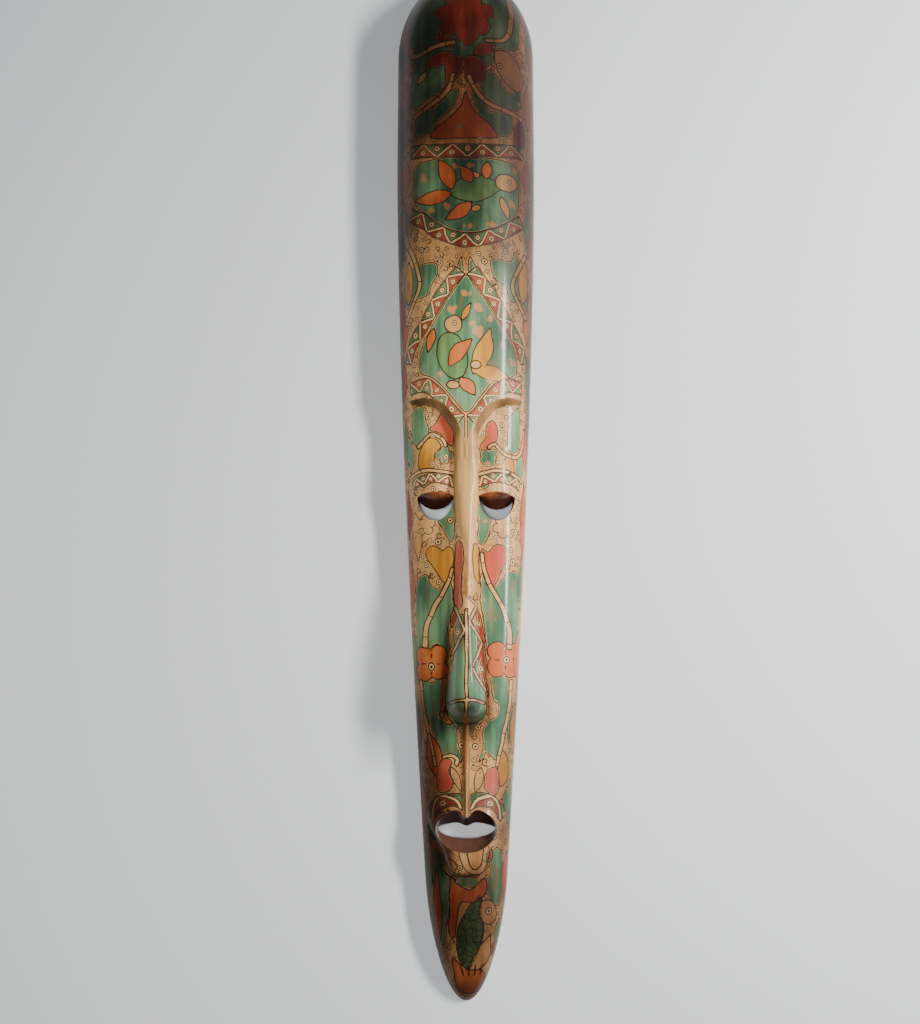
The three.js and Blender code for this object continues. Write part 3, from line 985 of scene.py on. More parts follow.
@dataclass(frozen=True)
class StainAndShade:
    """Where the wood is painted darker: partly brown staining towards the crown and the chin, partly painted
    shade where the light falls off, and darker towards the sides. Spans are places in millimetres between
    which a darkening sets in.
    """

    carving: Carving
    side_across: Span = (36, 88)
    side_along: Span = (540, 640)
    cheek_across: Span = (0, 20)
    cheek_along: tuple[Span, Span] = ((270, 320), (480, 560))
    forehead_across: Span = (10, 56)
    forehead_along: Span = (470, 590)
    dome_along: Span = (740, 820)
    jaw_outward: Span = (0.5, 1)
    jaw_along: tuple[Span, Span] = ((90, 150), (230, 300))
    shade_across: Span = (-2, 32)
    shade_along: Span = (210, 270)
    shade_end: Span = (250, 360)
    crown_along: Span = (600, 722)
    crown_end: Span = (745, 830)
    chin_along: Span = (65, 290)
    chin_end: Span = (6, 34)
    chin_slant: float = 0.6
    bevel_across: Span = (12, 44)
    bevel_along: Span = (500, 515)
    bridge_across: Span = (3, 11)
    bridge_along: Span = (370, 420)
    tip_middle: float = 250
    tip_reach: Span = (20, 19)
    nose_along: Triple = (250, 310, 380)
    nose_half: Triple = (21, 18, 13)
    nose_fade: tuple[Span, Span] = ((232, 258), (320, 390))

    def depth(self, u: Grid, v: Grid, cut: Grid) -> Grid:
        """How dark the wood is painted, each darkening taking its share of what is still undarkened; some are
        brown staining and some are painted shade.

        Args:
            u: places across.
            v: places along.
            cut: 1 on bare wood, 0 beside it.

        Returns:
            0 where it is not darkened, 1 where it is nearly black.
        """
        # Painted light: the side darkening is lifted on the right cheek, where the light falls.
        cheek = 0.4 * smooth_step(*self.cheek_across, u) * between(*self.cheek_along, v)
        # Darker towards both sides, more so above the brows.
        side = 0.62 + 0.2 * smooth_step(*self.side_along, v) - cheek
        side = side * smooth_step(*self.side_across, np.abs(u))
        # Painted shade on the right of the forehead and the dome, where the light falls off.
        right = 0.68 + 0.1 * smooth_step(*self.dome_along, v)
        right = right * smooth_step(*self.forehead_across, u) * smooth_step(*self.forehead_along, v)
        # Darker towards the outer edges of the lower face.
        outward = np.abs(u) / self.carving.half_width(v / self.carving.length).clip(1.0)
        jaw = 0.55 * smooth_step(*self.jaw_outward, outward) * between(*self.jaw_along, v)
        # Painted shade down the left of the lower face, away from the light.
        shade = (0.84 - 0.28 * smooth_step(*self.shade_along, v)) * smooth_step(*self.shade_across, -u)
        shade = shade * (1.0 - smooth_step(*self.shade_end, v))
        # Towards the crown: brown staining, deepened by painted shade where the dome turns away from the
        # light.
        crown = 0.66 * smooth_step(*self.crown_along, v) + 0.26 * smooth_step(*self.crown_end, v)
        # Towards the chin: brown staining, with painted shade on its left through the slant across.
        chin = 0.8 * (1.0 - smooth_step(*self.chin_along, v + self.chin_slant * u))
        chin = chin + 0.2 * (1.0 - smooth_step(*self.chin_end, v))
        # On the brows' bevels: brown wood, darkened by painted shade, most at the outer ends.
        bevel = 0.5 + 0.3 * smooth_step(*self.bevel_across, np.abs(u))
        bevel = bevel * cut * smooth_step(*self.bevel_along, v)
        # Painted shade down the left flank of the bridge, away from the light.
        bridge = 0.42 * smooth_step(*self.bridge_across, -u) * cut * smooth_step(*self.bridge_along, v)
        # Painted shade on the nose's bulb.
        wide, high = self.tip_reach
        tip = 0.85 * np.exp(-((u / wide) ** 2) - ((v - self.tip_middle) / high) ** 2)
        # Painted shade beside the nose, stronger on its left, where the nose's shadow falls.
        beside = (np.abs(u) - np.interp(v, self.nose_along, self.nose_half)) / np.where(u < 0.0, 5.5, 4.0)
        crease = np.where(u < 0.0, 0.84, 0.4) * np.exp(-(beside**2)) * between(*self.nose_fade, v)
        # Each darkening, staining and painted shade alike, takes its share of what is left.
        undarkened = np.ones_like(u)
        for stain_and_shade in (side, right, jaw, shade, crown, chin, bevel, bridge, tip, crease):
            undarkened = undarkened * (1.0 - stain_and_shade)
        return np.clip(1.0 - undarkened, 0.0, 1.0)


@dataclass
class Corners:
    """The face corners of the wood: their places, and where the middle of each one's face is."""

    x: Grid
    y: Grid
    z: Grid
    u: Grid
    mean_x: Grid
    mean_y: Grid


@dataclass(frozen=True)
class Layout:
    """Places on the flat square that the finishes are stored on, as shares of it.

    The last four read the wood: three in millimetres and one as a share of its length.
    """

    carving: Carving
    skin_left: float = 0.01
    skin_foot: float = 0.02
    skin_height: float = 0.96
    upper_left: float = 0.42
    back_middle: float = 0.925
    back_foot: float = 0.13
    back_across: float = 0.00052
    back_along: float = 0.00085
    wall_left: float = 0.882
    wall_foot: float = 0.01
    wall_gap: float = 0.045
    turn_reach: float = 0.0058
    depth_reach: float = 0.0014
    skin_half: float = 106.0
    eye_shift: float = 7.0
    wall_height: float = 70.0
    mouth_below: float = 0.3

    def unwrap(self, mesh: bpy.types.Mesh, places: tuple[Grid, Grid, Grid, Grid]) -> None:
        """Lay the faces out on the square without overlap.

        Args:
            mesh: the wood.
            places: where its points are: across, along from the chin, up, and across the flat skin.
        """
        count = len(mesh.polygons)
        corners = np.empty(len(mesh.loops), np.int32)
        sizes, finish = np.empty(count, np.int32), np.empty(count, np.int32)
        mesh.loops.foreach_get("vertex_index", corners)
        mesh.polygons.foreach_get("loop_total", sizes)
        mesh.polygons.foreach_get("material_index", finish)
        face = np.repeat(np.arange(count), sizes)
        first = np.concatenate([[0], np.cumsum(sizes)[:-1]])
        x, y, z, u = (place[corners] for place in places)
        means = (np.add.reduceat(place, first) / sizes for place in (x, y))
        at = Corners(x, y, z, u, *(mean[face] for mean in means))
        finish = finish[face, None]
        front_back = np.where(finish == Finish.HOLLOW.value, self.back(at), self.skin(at))
        flat = np.where(finish >= Finish.LID.value, self.walls(at), front_back)
        mesh.uv_layers.new(name="OFBake").uv.foreach_set("vector", flat.astype(np.float32).ravel())

    def skin(self, at: Corners) -> Grid:
        """The painted skin, its upper half beside its lower half.

        Args:
            at: the corners.

        Returns:
            Their places on the square.
        """
        half = self.carving.length / 2
        scale, upper = self.skin_height / half, at.mean_y > half
        across = self.skin_left + (at.u + self.skin_half) * scale + np.where(upper, self.upper_left, 0.0)
        return np.stack([across, self.skin_foot + np.where(upper, at.y - half, at.y) * scale], axis=1)

    def back(self, at: Corners) -> Grid:
        """The back, spread by the way from the middle of the hollow's ceiling, across and down together.

        Args:
            at: the corners.

        Returns:
            Their places on the square.
        """
        down = self.carving.hollow_height(at.y / self.carving.length) - at.z
        across = self.back_middle + np.sign(at.mean_x) * np.abs(np.abs(at.x) + down) * self.back_across
        return np.stack([across, self.back_foot + at.y * self.back_along], axis=1)

    def walls(self, at: Corners) -> Grid:
        """The walls of the openings, each unrolled by the angle round its middle and by height.

        Args:
            at: the corners.

        Returns:
            Their places on the square.
        """
        length, eye_x = self.carving.length, self.carving.eye_x
        eye_y = self.carving.eye_share * length - self.eye_shift
        middles = np.array([(eye_x, eye_y), (-eye_x, eye_y), (0.0, self.carving.mouth_share * length)])
        hole = np.where(at.mean_y < self.mouth_below * length, 2, np.where(at.mean_x > 0.0, 0, 1))
        middle_x, middle_y = middles[hole].T
        own = np.arctan2(at.mean_y - middle_y, at.mean_x - middle_x)
        angle = np.arctan2(at.y - middle_y, at.x - middle_x) - own
        angle = (angle + math.pi) % (2 * math.pi) - math.pi + own
        across = self.wall_left + self.wall_gap * hole + angle * self.turn_reach
        along = self.wall_foot + np.clip(at.z, 0.0, self.wall_height) * self.depth_reach
        return np.stack([across, along], axis=1)


def crown() -> Outlines:
    """A dark flower on green with curved stems.

    Returns:
        The outlines of each tint.
    """
    return {
        Tint.GREEN: [
            rounded([(-50, 985), (0, 992), (48, 985), (53, 915), (46, 898), (28, 894), (22, 876),
                (-22, 876), (-52, 886)]),
            rounded([(-50, 884), (-22, 884), (-17, 866), (-24, 850), (-40, 842), (-52, 838)]),
            rounded([(20, 870), (30, 866), (44, 850), (52, 862), (53, 838), (36, 834), (20, 842),
                (14, 852)]),
            rounded([(-46, 832), (-30, 834), (-14, 850), (-7, 848), (-12, 832), (-28, 818), (-33, 808),
                (-48, 808)]),
            rounded([(22, 830), (44, 826), (43, 808), (28, 804), (22, 812), (12, 828), (6, 846),
                (12, 846)]),
            leaf((-64, 770), (-66, 850), 6), leaf((66, 880), (65, 960), 6),
        ],
        Tint.RED: [
            flower(-2, 930, 30, 7, 15, 0.3), leaf((-1, 896), (12, 920), 6.5),
            leaf((-12, 896), (-31, 910), 5), leaf((-14, 890), (-40, 876), 7),
            leaf((8, 888), (30, 900), 7),
            rounded([(-19, 884), (-3, 884), (-4, 868), (-12, 858), (-19, 848), (-25, 846), (-20, 858)]),
            rounded([(-1, 884), (17, 882), (18, 862), (6, 858), (0, 862)]), leaf((51, 788), (54, 832), 5.5),
        ],
        Tint.ORANGE: [
            rounded([(0, 848), (5, 832), (17, 820), (26, 812), (26, 801), (-30, 801), (-30, 811),
                (-18, 820), (-5, 832)]),
            leaf((61, 820), (61, 870), 5),
        ],
        Tint.TAN: [rounded([(30, 893), (46, 892), (56, 872), (52, 856), (40, 860), (29, 878)])],
        Tint.CREAM: [leaf((-48, 862), (-38, 874), 3.4)],
    }


def oval_panel() -> Outlines:
    """An oval of green with pink spots, in which a winged fish swims to the right.

    Returns:
        The outlines of each tint.
    """
    return {
        Tint.GREEN: [
            rounded([(-46, 778), (0, 779), (47, 777), (51, 752), (49, 730), (40, 718), (22, 708), (0, 704),
                (-20, 710), (-40, 727), (-50, 742), (-51, 760)]),
            rounded([(-52, 672), (-40, 676), (-28, 674), (-27, 664), (-33, 654), (-36, 644), (-52, 646)]),
            rounded([(23, 676), (30, 680), (42, 679), (47, 690), (53, 670), (52, 645), (42, 640),
                (38, 652), (28, 660)]),
            leaf((-61, 688), (-61, 752), 5), leaf((61, 690), (62, 750), 5),
        ],
        Tint.BLUSH: [
            oval(-41, 762, 3.4, 4.6), oval(-34, 727, 3.4, 3.8), oval(4, 772, 4.6, 3),
            oval(-18, 732, 3, 5), oval(24, 713, 6, 3.4), oval(44, 736, 3, 5),
            oval(-10, 771, 4, 3), oval(39, 727, 3, 3), oval(2, 710, 5, 2.6),
            oval(47, 770, 2.6, 4),
        ],
        Tint.SALMON: [leaf((58, 752), (60, 790), 4.4), leaf((-58, 754), (-60, 794), 4.4)],
        Tint.ORANGE: [
            leaf((-13, 747), (-27, 779), 7.5, -2), leaf((-13, 744), (-50, 741), 7, 2),
            leaf((6, 754), (-5, 772), 5.5), leaf((6, 734), (-20, 717), 6.5, 1),
            leaf((20, 758), (20, 777), 5.5),
        ],
        Tint.OLIVE: [leaf((-17, 745), (37, 753), 14)],
        Tint.OCHRE: [
            leaf((-55, 640), (-55, 684), 4.6), leaf((55, 640), (56, 690), 5.4),
            leaf((34, 742), (41, 720), 4),
        ],
        Tint.TAN: [oval(39, 757, 11, 9, 10), oval(9, 762, 4.4, 3, -20), oval(10, 729, 5, 3.2, 20)],
    }


def ogee_panel() -> Outlines:
    """A pointed panel of green with pink spots, in which a bird looks up to the left.

    Returns:
        The outlines of each tint.
    """
    return {
        Tint.GREEN: [
            rounded([(0, 662), (8, 651), (17, 640), (24, 628), (33, 613), (43, 598), (48, 582), (45, 568),
                (28, 561), (16, 548), (0, 530), (-16, 548), (-28, 561), (-42, 570), (-44, 585), (-39, 600),
                (-32, 613), (-24, 628), (-17, 640), (-8, 651)]),
            rounded([(-3, 663), (-9, 664), (-4, 680)], 3), rounded([(3, 663), (10, 664), (4, 680)], 3),
            rounded([(-1.4, 526), (-15, 527), (-9, 514), (-1.4, 500)], 1),
            rounded([(1.4, 526), (15, 527), (9, 514), (1.4, 500)], 1), leaf((-56, 636), (-52, 668), 5),
            leaf((57, 634), (54, 662), 4),
        ],
        Tint.BLUSH: [
            oval(-13, 629, 4.6, 4.6), oval(12, 630, 4.8, 5.2), oval(23, 561, 3.8, 4.2),
            oval(44, 580, 3.4, 4.4), oval(0, 645, 4.6, 3.8), oval(22, 620, 3.6, 3.8),
            oval(11, 607, 6, 6.6), oval(36, 608, 3.6, 4.6), oval(-26, 566, 3, 4),
            oval(6, 616, 5, 2.6), oval(34, 596, 2.6, 5),
        ],
        Tint.OCHRE: [
            leaf((6, 566), (23, 611), 8.5, -2), leaf((8, 568), (44, 560), 7, 3),
            leaf((-4, 618), (5, 635), 3.2),
        ],
        Tint.OLIVE: [oval(-13, 584, 14, 23, 14)],
        Tint.ORANGE: [
            leaf((-16, 574), (6, 600), 7, 2), leaf((-6, 563), (9, 546), 6),
            leaf((-30, 612), (-36, 588), 4), leaf((-61, 596), (-60, 640), 5.5),
            leaf((60, 600), (60, 642), 5.5),
        ],
        Tint.TAN: [oval(-12, 614, 8.6, 8, 20), oval(-12, 556, 6.4, 4, -10), oval(9, 575, 5, 4)],
    }


def sockets() -> Outlines:
    """Leaves and flowers between the brows and the eyes.

    Returns:
        The outlines of each tint.
    """
    return {
        Tint.GREEN: [
            rounded([(-50, 536), (-41, 538), (-38, 524), (-35, 516), (-37, 508), (-45, 502), (-51, 508)]),
            rounded([(40, 520), (44, 532), (50, 538), (51, 516), (49, 500), (42, 494), (39, 502)]),
            flower(-20, 491, 9, 4, 0, 0.42), flower(21, 489, 9.5, 4, 40, 0.35),
            leaf((-52, 476), (-54, 512), 3.8), leaf((50, 470), (53, 498), 4.2),
            rounded([(-11, 446), (-12, 412), (-18, 414), (-22, 424), (-26, 430), (-21, 436), (-18, 444)]),
            rounded([(11, 442), (20, 440), (23, 430), (20, 412), (12, 409)]),
            leaf((-44, 463), (-32, 466), 3), leaf((13, 461), (22, 463), 2.6),
        ],
        Tint.SALMON: [
            rounded([(-34, 516), (-28, 522), (-22, 532), (-14, 522), (-12, 508), (-13, 500), (-19, 504),
                (-24, 512)]),
            rounded([(18, 508), (19, 518), (24, 524), (29, 518), (29, 507), (24, 502), (17, 496),
                (14, 500)]),
        ],
        Tint.OCHRE: [
            rounded([(-43, 478), (-44, 494), (-38, 505), (-30, 508), (-24, 500), (-27, 496), (-30, 490),
                (-31, 478)]),
            rounded([(35, 474), (36, 488), (43, 490), (45, 476), (42, 472)]),
        ],
        Tint.CREAM: [
            ribbon([(-58, 470), (-50, 474), (-36, 477), (-11, 473)], 1.7, 1.7),
            ribbon([(11, 472), (30, 476), (44, 474), (54, 467)], 1.7, 1.7),
        ],
    }


def cheeks() -> Outlines:
    """Outlined leaves under the eyes, two heart leaves, and jointed stems over green to orange flowers.

    Returns:
        The outlines of each tint.
    """
    ways = ((1, 0), (-1, 0), (0, 1), (0, -1))
    spokes = [(x, y, a, b) for x, y in ((-32, 297), (36, 301)) for a, b in ways]
    return {
        Tint.GREEN: [
            rounded([(-46, 372), (-37, 380), (-32, 371), (-24, 366), (-16, 374), (-12, 362), (-13, 340),
                (-17, 330), (-15, 306), (-20, 300), (-28, 316), (-44, 306), (-47, 340)]),
            rounded([(14, 380), (21, 368), (29, 370), (38, 382), (50, 378), (51, 340), (50, 318),
                (38, 316), (26, 306), (20, 306), (17, 330), (14, 350)]),
        ],
        Tint.OCHRE: [
            rounded([(-37, 398), (-34, 405), (-28, 406), (-22, 402), (-17, 405), (-12, 402), (-12, 388),
                (-18, 371), (-26, 380)]),
        ],
        Tint.SALMON: [
            rounded([(14, 403), (20, 400), (27, 407), (36, 405), (38, 396), (32, 384), (23, 366),
                (15, 384)]),
        ],
        Tint.ORANGE: [
            flower(-32, 299, 18.5, 4, 48, 0.36), flower(35, 302, 18.5, 4, 42, 0.36),
            leaf((57, 396), (58, 470), 4.6),
        ],
        Tint.LINE: [
            flower(-38, 426, 10, 5, 20, 0.4), flower(36, 424, 11, 6, 10, 0.35),
            leaf((-48, 440), (-44, 392), 5),
            *[leaf((x + 5 * a, 1 + y + 5 * b),
                (x + 10 * a, 1 + y + 10 * b), 0.35) for x, y, a, b in spokes],
        ],
    }


def lower_face() -> Outlines:
    """Tall green grounds beside the nose, and leaves beside the lips.

    Returns:
        The outlines of each tint.
    """
    return {
        Tint.GREEN: [
            rounded([(-39, 282), (-31, 281), (-23, 287), (-22, 266), (-24, 252), (-17, 244), (-9, 243),
                (-8, 230), (-5, 220), (-5, 208), (-12, 217), (-21, 217), (-26, 226), (-33, 244),
                (-39, 262)]),
            rounded([(23, 286), (31, 287), (38, 284), (40, 262), (36, 244), (31, 224), (27, 212),
                (19, 218), (12, 210), (16, 226), (14, 236), (19, 245), (28, 252), (29, 262), (24, 268)]),
            leaf((39, 226), (43, 262), 3.2), leaf((35, 166), (37, 188), 3.4),
            leaf((-31, 138), (-34, 160), 3.6),
        ],
        Tint.ORANGE: [leaf((-26, 196), (-35, 238), 7, -1.5)],
        Tint.OCHRE: [rounded([(29, 214), (33, 220), (38, 212), (38, 196), (31, 188), (29, 198)])],
        Tint.SALMON: [
            rounded([(-25, 206), (-20, 213), (-13, 210), (-16, 202), (-12, 192), (-18, 184), (-26, 186)]),
            rounded([(18, 200), (25, 206), (29, 200), (29, 186), (25, 180), (16, 188)]),
            leaf((32, 178), (28, 160), 3),
        ],
        Tint.CREAM: [ribbon([(-22, 214), (-14, 216), (-8, 212), (-10, 207)], 1.8, 1.7)],
        Tint.LINE: [leaf((-14, 206), (-4, 184), 3.6), leaf((14, 206), (8, 182), 4)],
    }


def nose() -> Outlines:
    """Salmon and ochre on the bridge, red flanks, and a dark green tip crossed by cream lines.

    Returns:
        The outlines of each tint.
    """
    left = [(-11, 350), (-2, 326), (-13, 304)]
    right = [(2, 356), (10, 350), (3, 333), (15, 316), (5, 293), (18, 272)]
    return {
        Tint.GREEN: [
            rounded([(-1.6, 334), (-9, 330), (-12, 300), (-18, 276), (-18, 256), (-10, 243), (-1.6, 241)]),
            rounded([(1.6, 334), (9, 322), (11, 300), (12, 286), (17, 270), (17, 252), (10, 243),
                (1.6, 241)]),
        ],
        Tint.SALMON: [
            rounded([(-9, 406), (-3, 404), (-3, 384), (-5, 364), (-4, 350), (-10, 346), (-11, 376)]),
        ],
        Tint.OCHRE: [rounded([(6, 404), (11, 404), (12, 384), (12, 372), (7, 376)])],
        Tint.RED: [
            rounded([(9, 346), (13, 340), (17, 320), (18, 290), (20, 268), (16, 276), (12, 300),
                (10, 322)]),
            leaf((-13, 330), (-10, 352), 2.4),
        ],
        Tint.CREAM: [
            ribbon([(0, 345), (0, 300), (0, 238)], 1.5, 1.5),
            ribbon([(-16, 262), (-8, 264), (8, 264), (17, 262)], 1.4, 1.4),
            *[ribbon(list(line), 1.3, 1.3) for line in zip(left[:-1], left[1:])],
            *[ribbon(list(line), 1.3, 1.3) for line in zip(right[:-1], right[1:])],
        ],
    }


def chin() -> Outlines:
    """A scroll under the lips, and a scaled fish with orange fins on green.

    Returns:
        The outlines of each tint.
    """
    return {
        Tint.GREEN: [
            rounded([(20, 128), (30, 134), (34, 112), (31, 92), (27, 84), (20, 92), (18, 104), (22, 114)]),
            rounded([(-31, 130), (-22, 128), (-18, 112), (-10, 108), (-14, 98), (-17, 70), (-20, 50),
                (-26, 64)]),
            leaf((27, 50), (30, 74), 3.4), rounded([(-9, 109), (9, 109), (8, 101), (-8, 101)], 4),
        ],
        Tint.ORANGE: [
            rounded([(-14, 110), (-9, 104), (4, 98), (16, 108), (18, 98), (8, 88), (-6, 86), (-10, 60),
                (-15, 62), (-15, 90)]),
            leaf((-25, 46), (-27, 118), 4),
            rounded([(-11, 28), (-12, 40), (0, 30), (14, 28), (17, 18), (8, 9), (-7, 10)]),
        ],
        Tint.OLIVE: [leaf((0, 26), (13, 98), 11.5, 3)],
        Tint.TAN: [
            oval(19, 79, 7.5, 11, 12), leaf((2, 26), (21, 60), 6.5, -3),
            rounded([(1, 138), (2, 123), (5, 118), (8, 116.5), (11, 118), (14, 123), (14, 138)]),
        ],
        Tint.LINE: [
            rounded([(-5, 138), (-4, 121), (1, 114), (8, 112), (15, 114), (19, 121), (19, 138)]),
            leaf((-16, 126), (-7, 112), 3.8),
            *[leaf((x, 24), (x + lean, 34), 0.4) for x, lean in ((-3, -3), (2, -1), (7, 1), (12, 2))],
        ],
        Tint.RED: [leaf((23, 40), (26, 54), 2.6), leaf((19, 122), (23, 134), 2.6)],
    }


def triangle_rows() -> list[Band]:
    """The rows of triangles.

    Returns:
        The rows, from the crown down and from the middle out.
    """
    upper = ((-54, 786), (-30, 782), (0, 780.5), (30, 782), (56, 786))
    lower = ((-56, 724), (-44, 713), (-24, 697), (0, 690), (24, 694), (44, 705), (56, 716))
    ogee = ((1, 663), (9, 653), (18, 641), (26, 628), (35, 613), (46, 598), (52, 580))
    brow = ((1, 527), (10, 535), (18, 547), (28, 558), (40, 564), (53, 563))
    lid = ((12, 460), (24, 464.5), (36, 464.5), (50, 460))
    lip = ((3.5, 168), (12, 172), (22, 169), (31, 158))
    rows = [Band(upper, 13, 28), Band(lower, 13, 28)]
    for side in (-1, 1):
        for points, height, period, inside in ((ogee, 12, 27, False), (brow, 12.5, 27, True),
                                               (lid, 9, 17, False), (lip, 11, 27, False)):
            line = [(side * x, y) for x, y in points]
            rows.append(Band(tuple(line[::-1] if (side > 0) == inside else line), height, period))
    return rows


def jointed_stems() -> list[Stem]:
    """The jointed stems.

    Returns:
        The stems, each with its two half widths.
    """
    result = [
        Stem(((18, 904), (33, 904), (42, 914), (45, 936), (43, 960)), 2, 3),
        Stem(((-10, 901), (-28, 898), (-50, 893), (-54, 904)), 2.4, 2.6),
        Stem(((-12, 868), (-18, 850), (-32, 838), (-52, 828)), 2.2, 2.6),
        Stem(((3, 866), (9, 850), (22, 837), (38, 832), (56, 828)), 2.2, 2.6),
        Stem(((-12, 386), (-19, 367), (-29, 350), (-36, 334), (-38, 313)), 1.7, 2.6),
        Stem(((14, 400), (18, 380), (27, 361), (36, 344), (40, 326), (40, 312)), 1.7, 2.6),
        Stem(((-46, 499), (-33, 511), (-23, 507), (-19, 499)), 1.6, 1.7),
        Stem(((20, 498), (26, 502), (31, 497), (38, 492), (47, 491), (54, 500), (57, 520)), 1.7, 1.9),
        Stem(((58, 690), (50, 672), (44, 655), (50, 640), (58, 626)), 1.9, 1.7),
        Stem(((-62, 745), (-58, 706), (-52, 690), (-44, 660), (-50, 640), (-58, 620)), 2, 1.7),
    ]
    for side in (-1, 1):
        lower = ((side * 42, 284), (side * 40, 262), (side * 36, 243), (side * 31, 222), (side * 28, 206))
        result.append(Stem(lower, 1.5, 1.5))
    return result


def placed_rings() -> Grid:
    """Rings that stand in a place of their own: across, along and radius.

    Returns:
        A row for each.
    """
    return np.array([
        (33, 878, 3.2), (38, 867, 2.2), (-6, 812, 2.4), (14, 800, 2.2), (38, 799, 2.2), (-42, 690, 2.4),
        (-43, 681, 2.2), (12, 683, 2.2), (17, 676, 2.8), (-8, 681, 2), (42, 759, 2.2), (-11, 615, 2.2),
        (-38, 533, 2), (-36, 524, 2.2), (20, 482, 2.6), (-18, 489, 2.4), (-31, 482, 2.2), (-15, 430, 2.6),
        (-42, 421, 2.4), (-26, 410, 2.8), (17, 429, 2.2), (44, 420, 3), (28, 414, 2.2), (43, 392, 3.4),
        (-37, 389, 2.4), (-25, 373, 2.4), (-32, 296, 3.2), (37, 302, 3.4), (-8, 324, 2.2), (13, 292, 2.4),
        (11, 334, 2), (-4, 240, 2.2), (10, 241, 2.4), (-4, 225, 2.8), (8, 224, 2.8), (18, 250, 2),
        (20, 80, 2.8), (36, 163, 2.4), (-6, 118, 2), (48, 443, 2), (52, 843, 2.2), (16, 512, 2),
        (-31, 509, 1.8),
    ])


@dataclass
class Painting:
    """The ornament: grounds, leaves, stems, generic beasts, rows of triangles, rings and curls."""

    chart: Chart
    wobble: float = 0.5
    stamp_gap: float = 6.0
    stamp_clear: float = 3.1
    ring_share: float = 0.42
    tries: int = 9000
    fray: float = 0.35

    def tints(self) -> Outlines:
        """Every outline of each tint, from all parts of the mask.

        Returns:
            The outlines, in the order of the layers.
        """
        result: Outlines = {tint: [] for tint in Tint}
        parts = (crown, oval_panel, ogee_panel, sockets, cheeks, lower_face, nose, chin)
        for part in (*parts, self.sides, self.bare):
            for tint, outlines in part().items():
                result[tint] += outlines
        result[Tint.CREAM] += [stem.outline() for stem in jointed_stems()]
        return result

    def sides(self) -> Outlines:
        """Plain leaves and stems down the two sides, where the front's ornament ends.

        Returns:
            The outlines of each tint.
        """
        result: Outlines = {tint: [] for tint in Tint}
        carving = self.chart.carving
        order = (Tint.GREEN, Tint.SALMON, Tint.ORANGE, Tint.GREEN, Tint.RED, Tint.OCHRE)
        for i in range(13):
            start = 84.0 + 66.0 * i
            reach = float(carving.half_width(np.array((start + 25) / carving.length)))
            for side in (-1, 1):
                x = side * (reach + 1.5)
                tint = order[(2 * i + (side > 0)) % 6]
                result[tint].append(leaf((x, start), (x, start + 48), 6.0, side * 1.5))
                if i % 2:
                    far = side * (reach + 16.0)
                    result[order[(i + 3) % 6]].append(leaf((far, start - 30), (far, start + 20), 4.6))
        return result

    def bare(self) -> Outlines:
        """Wood that was cut after painting: the brows' bevels, the bridge and the ridge above the lip.

        Returns:
            The outlines of each tint.
        """
        crest, foot = self.chart.carving.brow_edges
        brow = np.concatenate([crest[:-3], foot[-4::-1]])
        bridge = rounded([
            (0, 506), (6, 498), (11, 486), (11.4, 440), (7, 424), (3, 404), (2, 360), (-2, 360), (-2, 404),
            (-8, 424), (-11.4, 440), (-11, 486), (-6, 498),
        ])
        ridge = rounded([(-2.8, 246), (2.8, 246), (2.8, 160), (-2.8, 160)], 2)
        return {Tint.BARE: [brow, brow[::-1] * (-1.0, 1.0), bridge, ridge]}

    def wobbled(self, u: Grid, v: Grid) -> tuple[Grid, Grid]:
        """Places moved a little, so that lines drawn on them waver as a hand does.

        Args:
            u: places across.
            v: places along.

        Returns:
            The moved places.
        """
        return u + self.wobble * ripple(u, v, 26.0, 1), v + self.wobble * ripple(u, v, 23.0, 2)

    def distance(self, outlines: list[Grid], u: Grid, v: Grid, rag: Grid | float) -> Grid:
        """Distance to the nearest of some outlines, less than 0 inside one.

        Args:
            outlines: closed outlines as read off the front.
            u: places across.
            v: places along.
            rag: how far the outline is frayed in and out.

        Returns:
            The distance, never more than FAR.
        """
        result = np.full(u.shape, FAR)
        for outline in outlines:
            points = self.chart.flat(outline)
            low, high = points.min(axis=0) - FAR, points.max(axis=0) + FAR
            near = (u > low[0]) & (u < high[0]) & (v > low[1]) & (v < high[1])
            result[near] = np.minimum(result[near], polygon_distance(points, u[near], v[near]))
        return result + rag * ripple(u, v, 8.5, 3)

    def stamps(self, tints: Outlines, bands: list[Band]) -> Grid:
        """Every ring and curl: the rings that have a place of their own, and others strewn on bare ground.

        Args:
            tints: the outlines of each tint.
            bands: the rows of triangles.

        Returns:
            A row for each: across, along, radius, turn and the number of its mark.
        """
        random = np.random.default_rng(SEED)
        rings = placed_rings()
        fixed = self.chart.flat(rings[:, :2])
        kept = [(u, v, r, 0.0, Mark.RING.value) for (u, v), r in zip(fixed, rings[:, 2])]
        u, v = random.uniform(-100, 100, self.tries), random.uniform(40, 955, self.tries)
        clear = np.full(u.shape, FAR)
        for outlines in tints.values():
            clear = np.minimum(clear, self.distance(outlines, u, v, 0.0))
        for band in bands:
            clear = np.minimum(clear, band.places(self.chart, u, v)[2])
        half = self.chart.carving.half_width(v / self.chart.carving.length)
        free = (clear > self.stamp_clear) & (np.abs(u) < 1.3 * half)
        size, turn = random.uniform(1.7, 2.5, u.shape), random.uniform(-3.1, 3.1, u.shape)
        kind = random.uniform(size=u.shape)
        for i in np.flatnonzero(free):
            others = np.array(kept)
            if np.hypot(others[:, 0] - u[i], others[:, 1] - v[i]).min() > self.stamp_gap:
                mark = Mark.RING if kind[i] < self.ring_share else Mark.CURL
                kept.append((u[i], v[i], size[i], turn[i], mark.value))
        return np.array(kept)

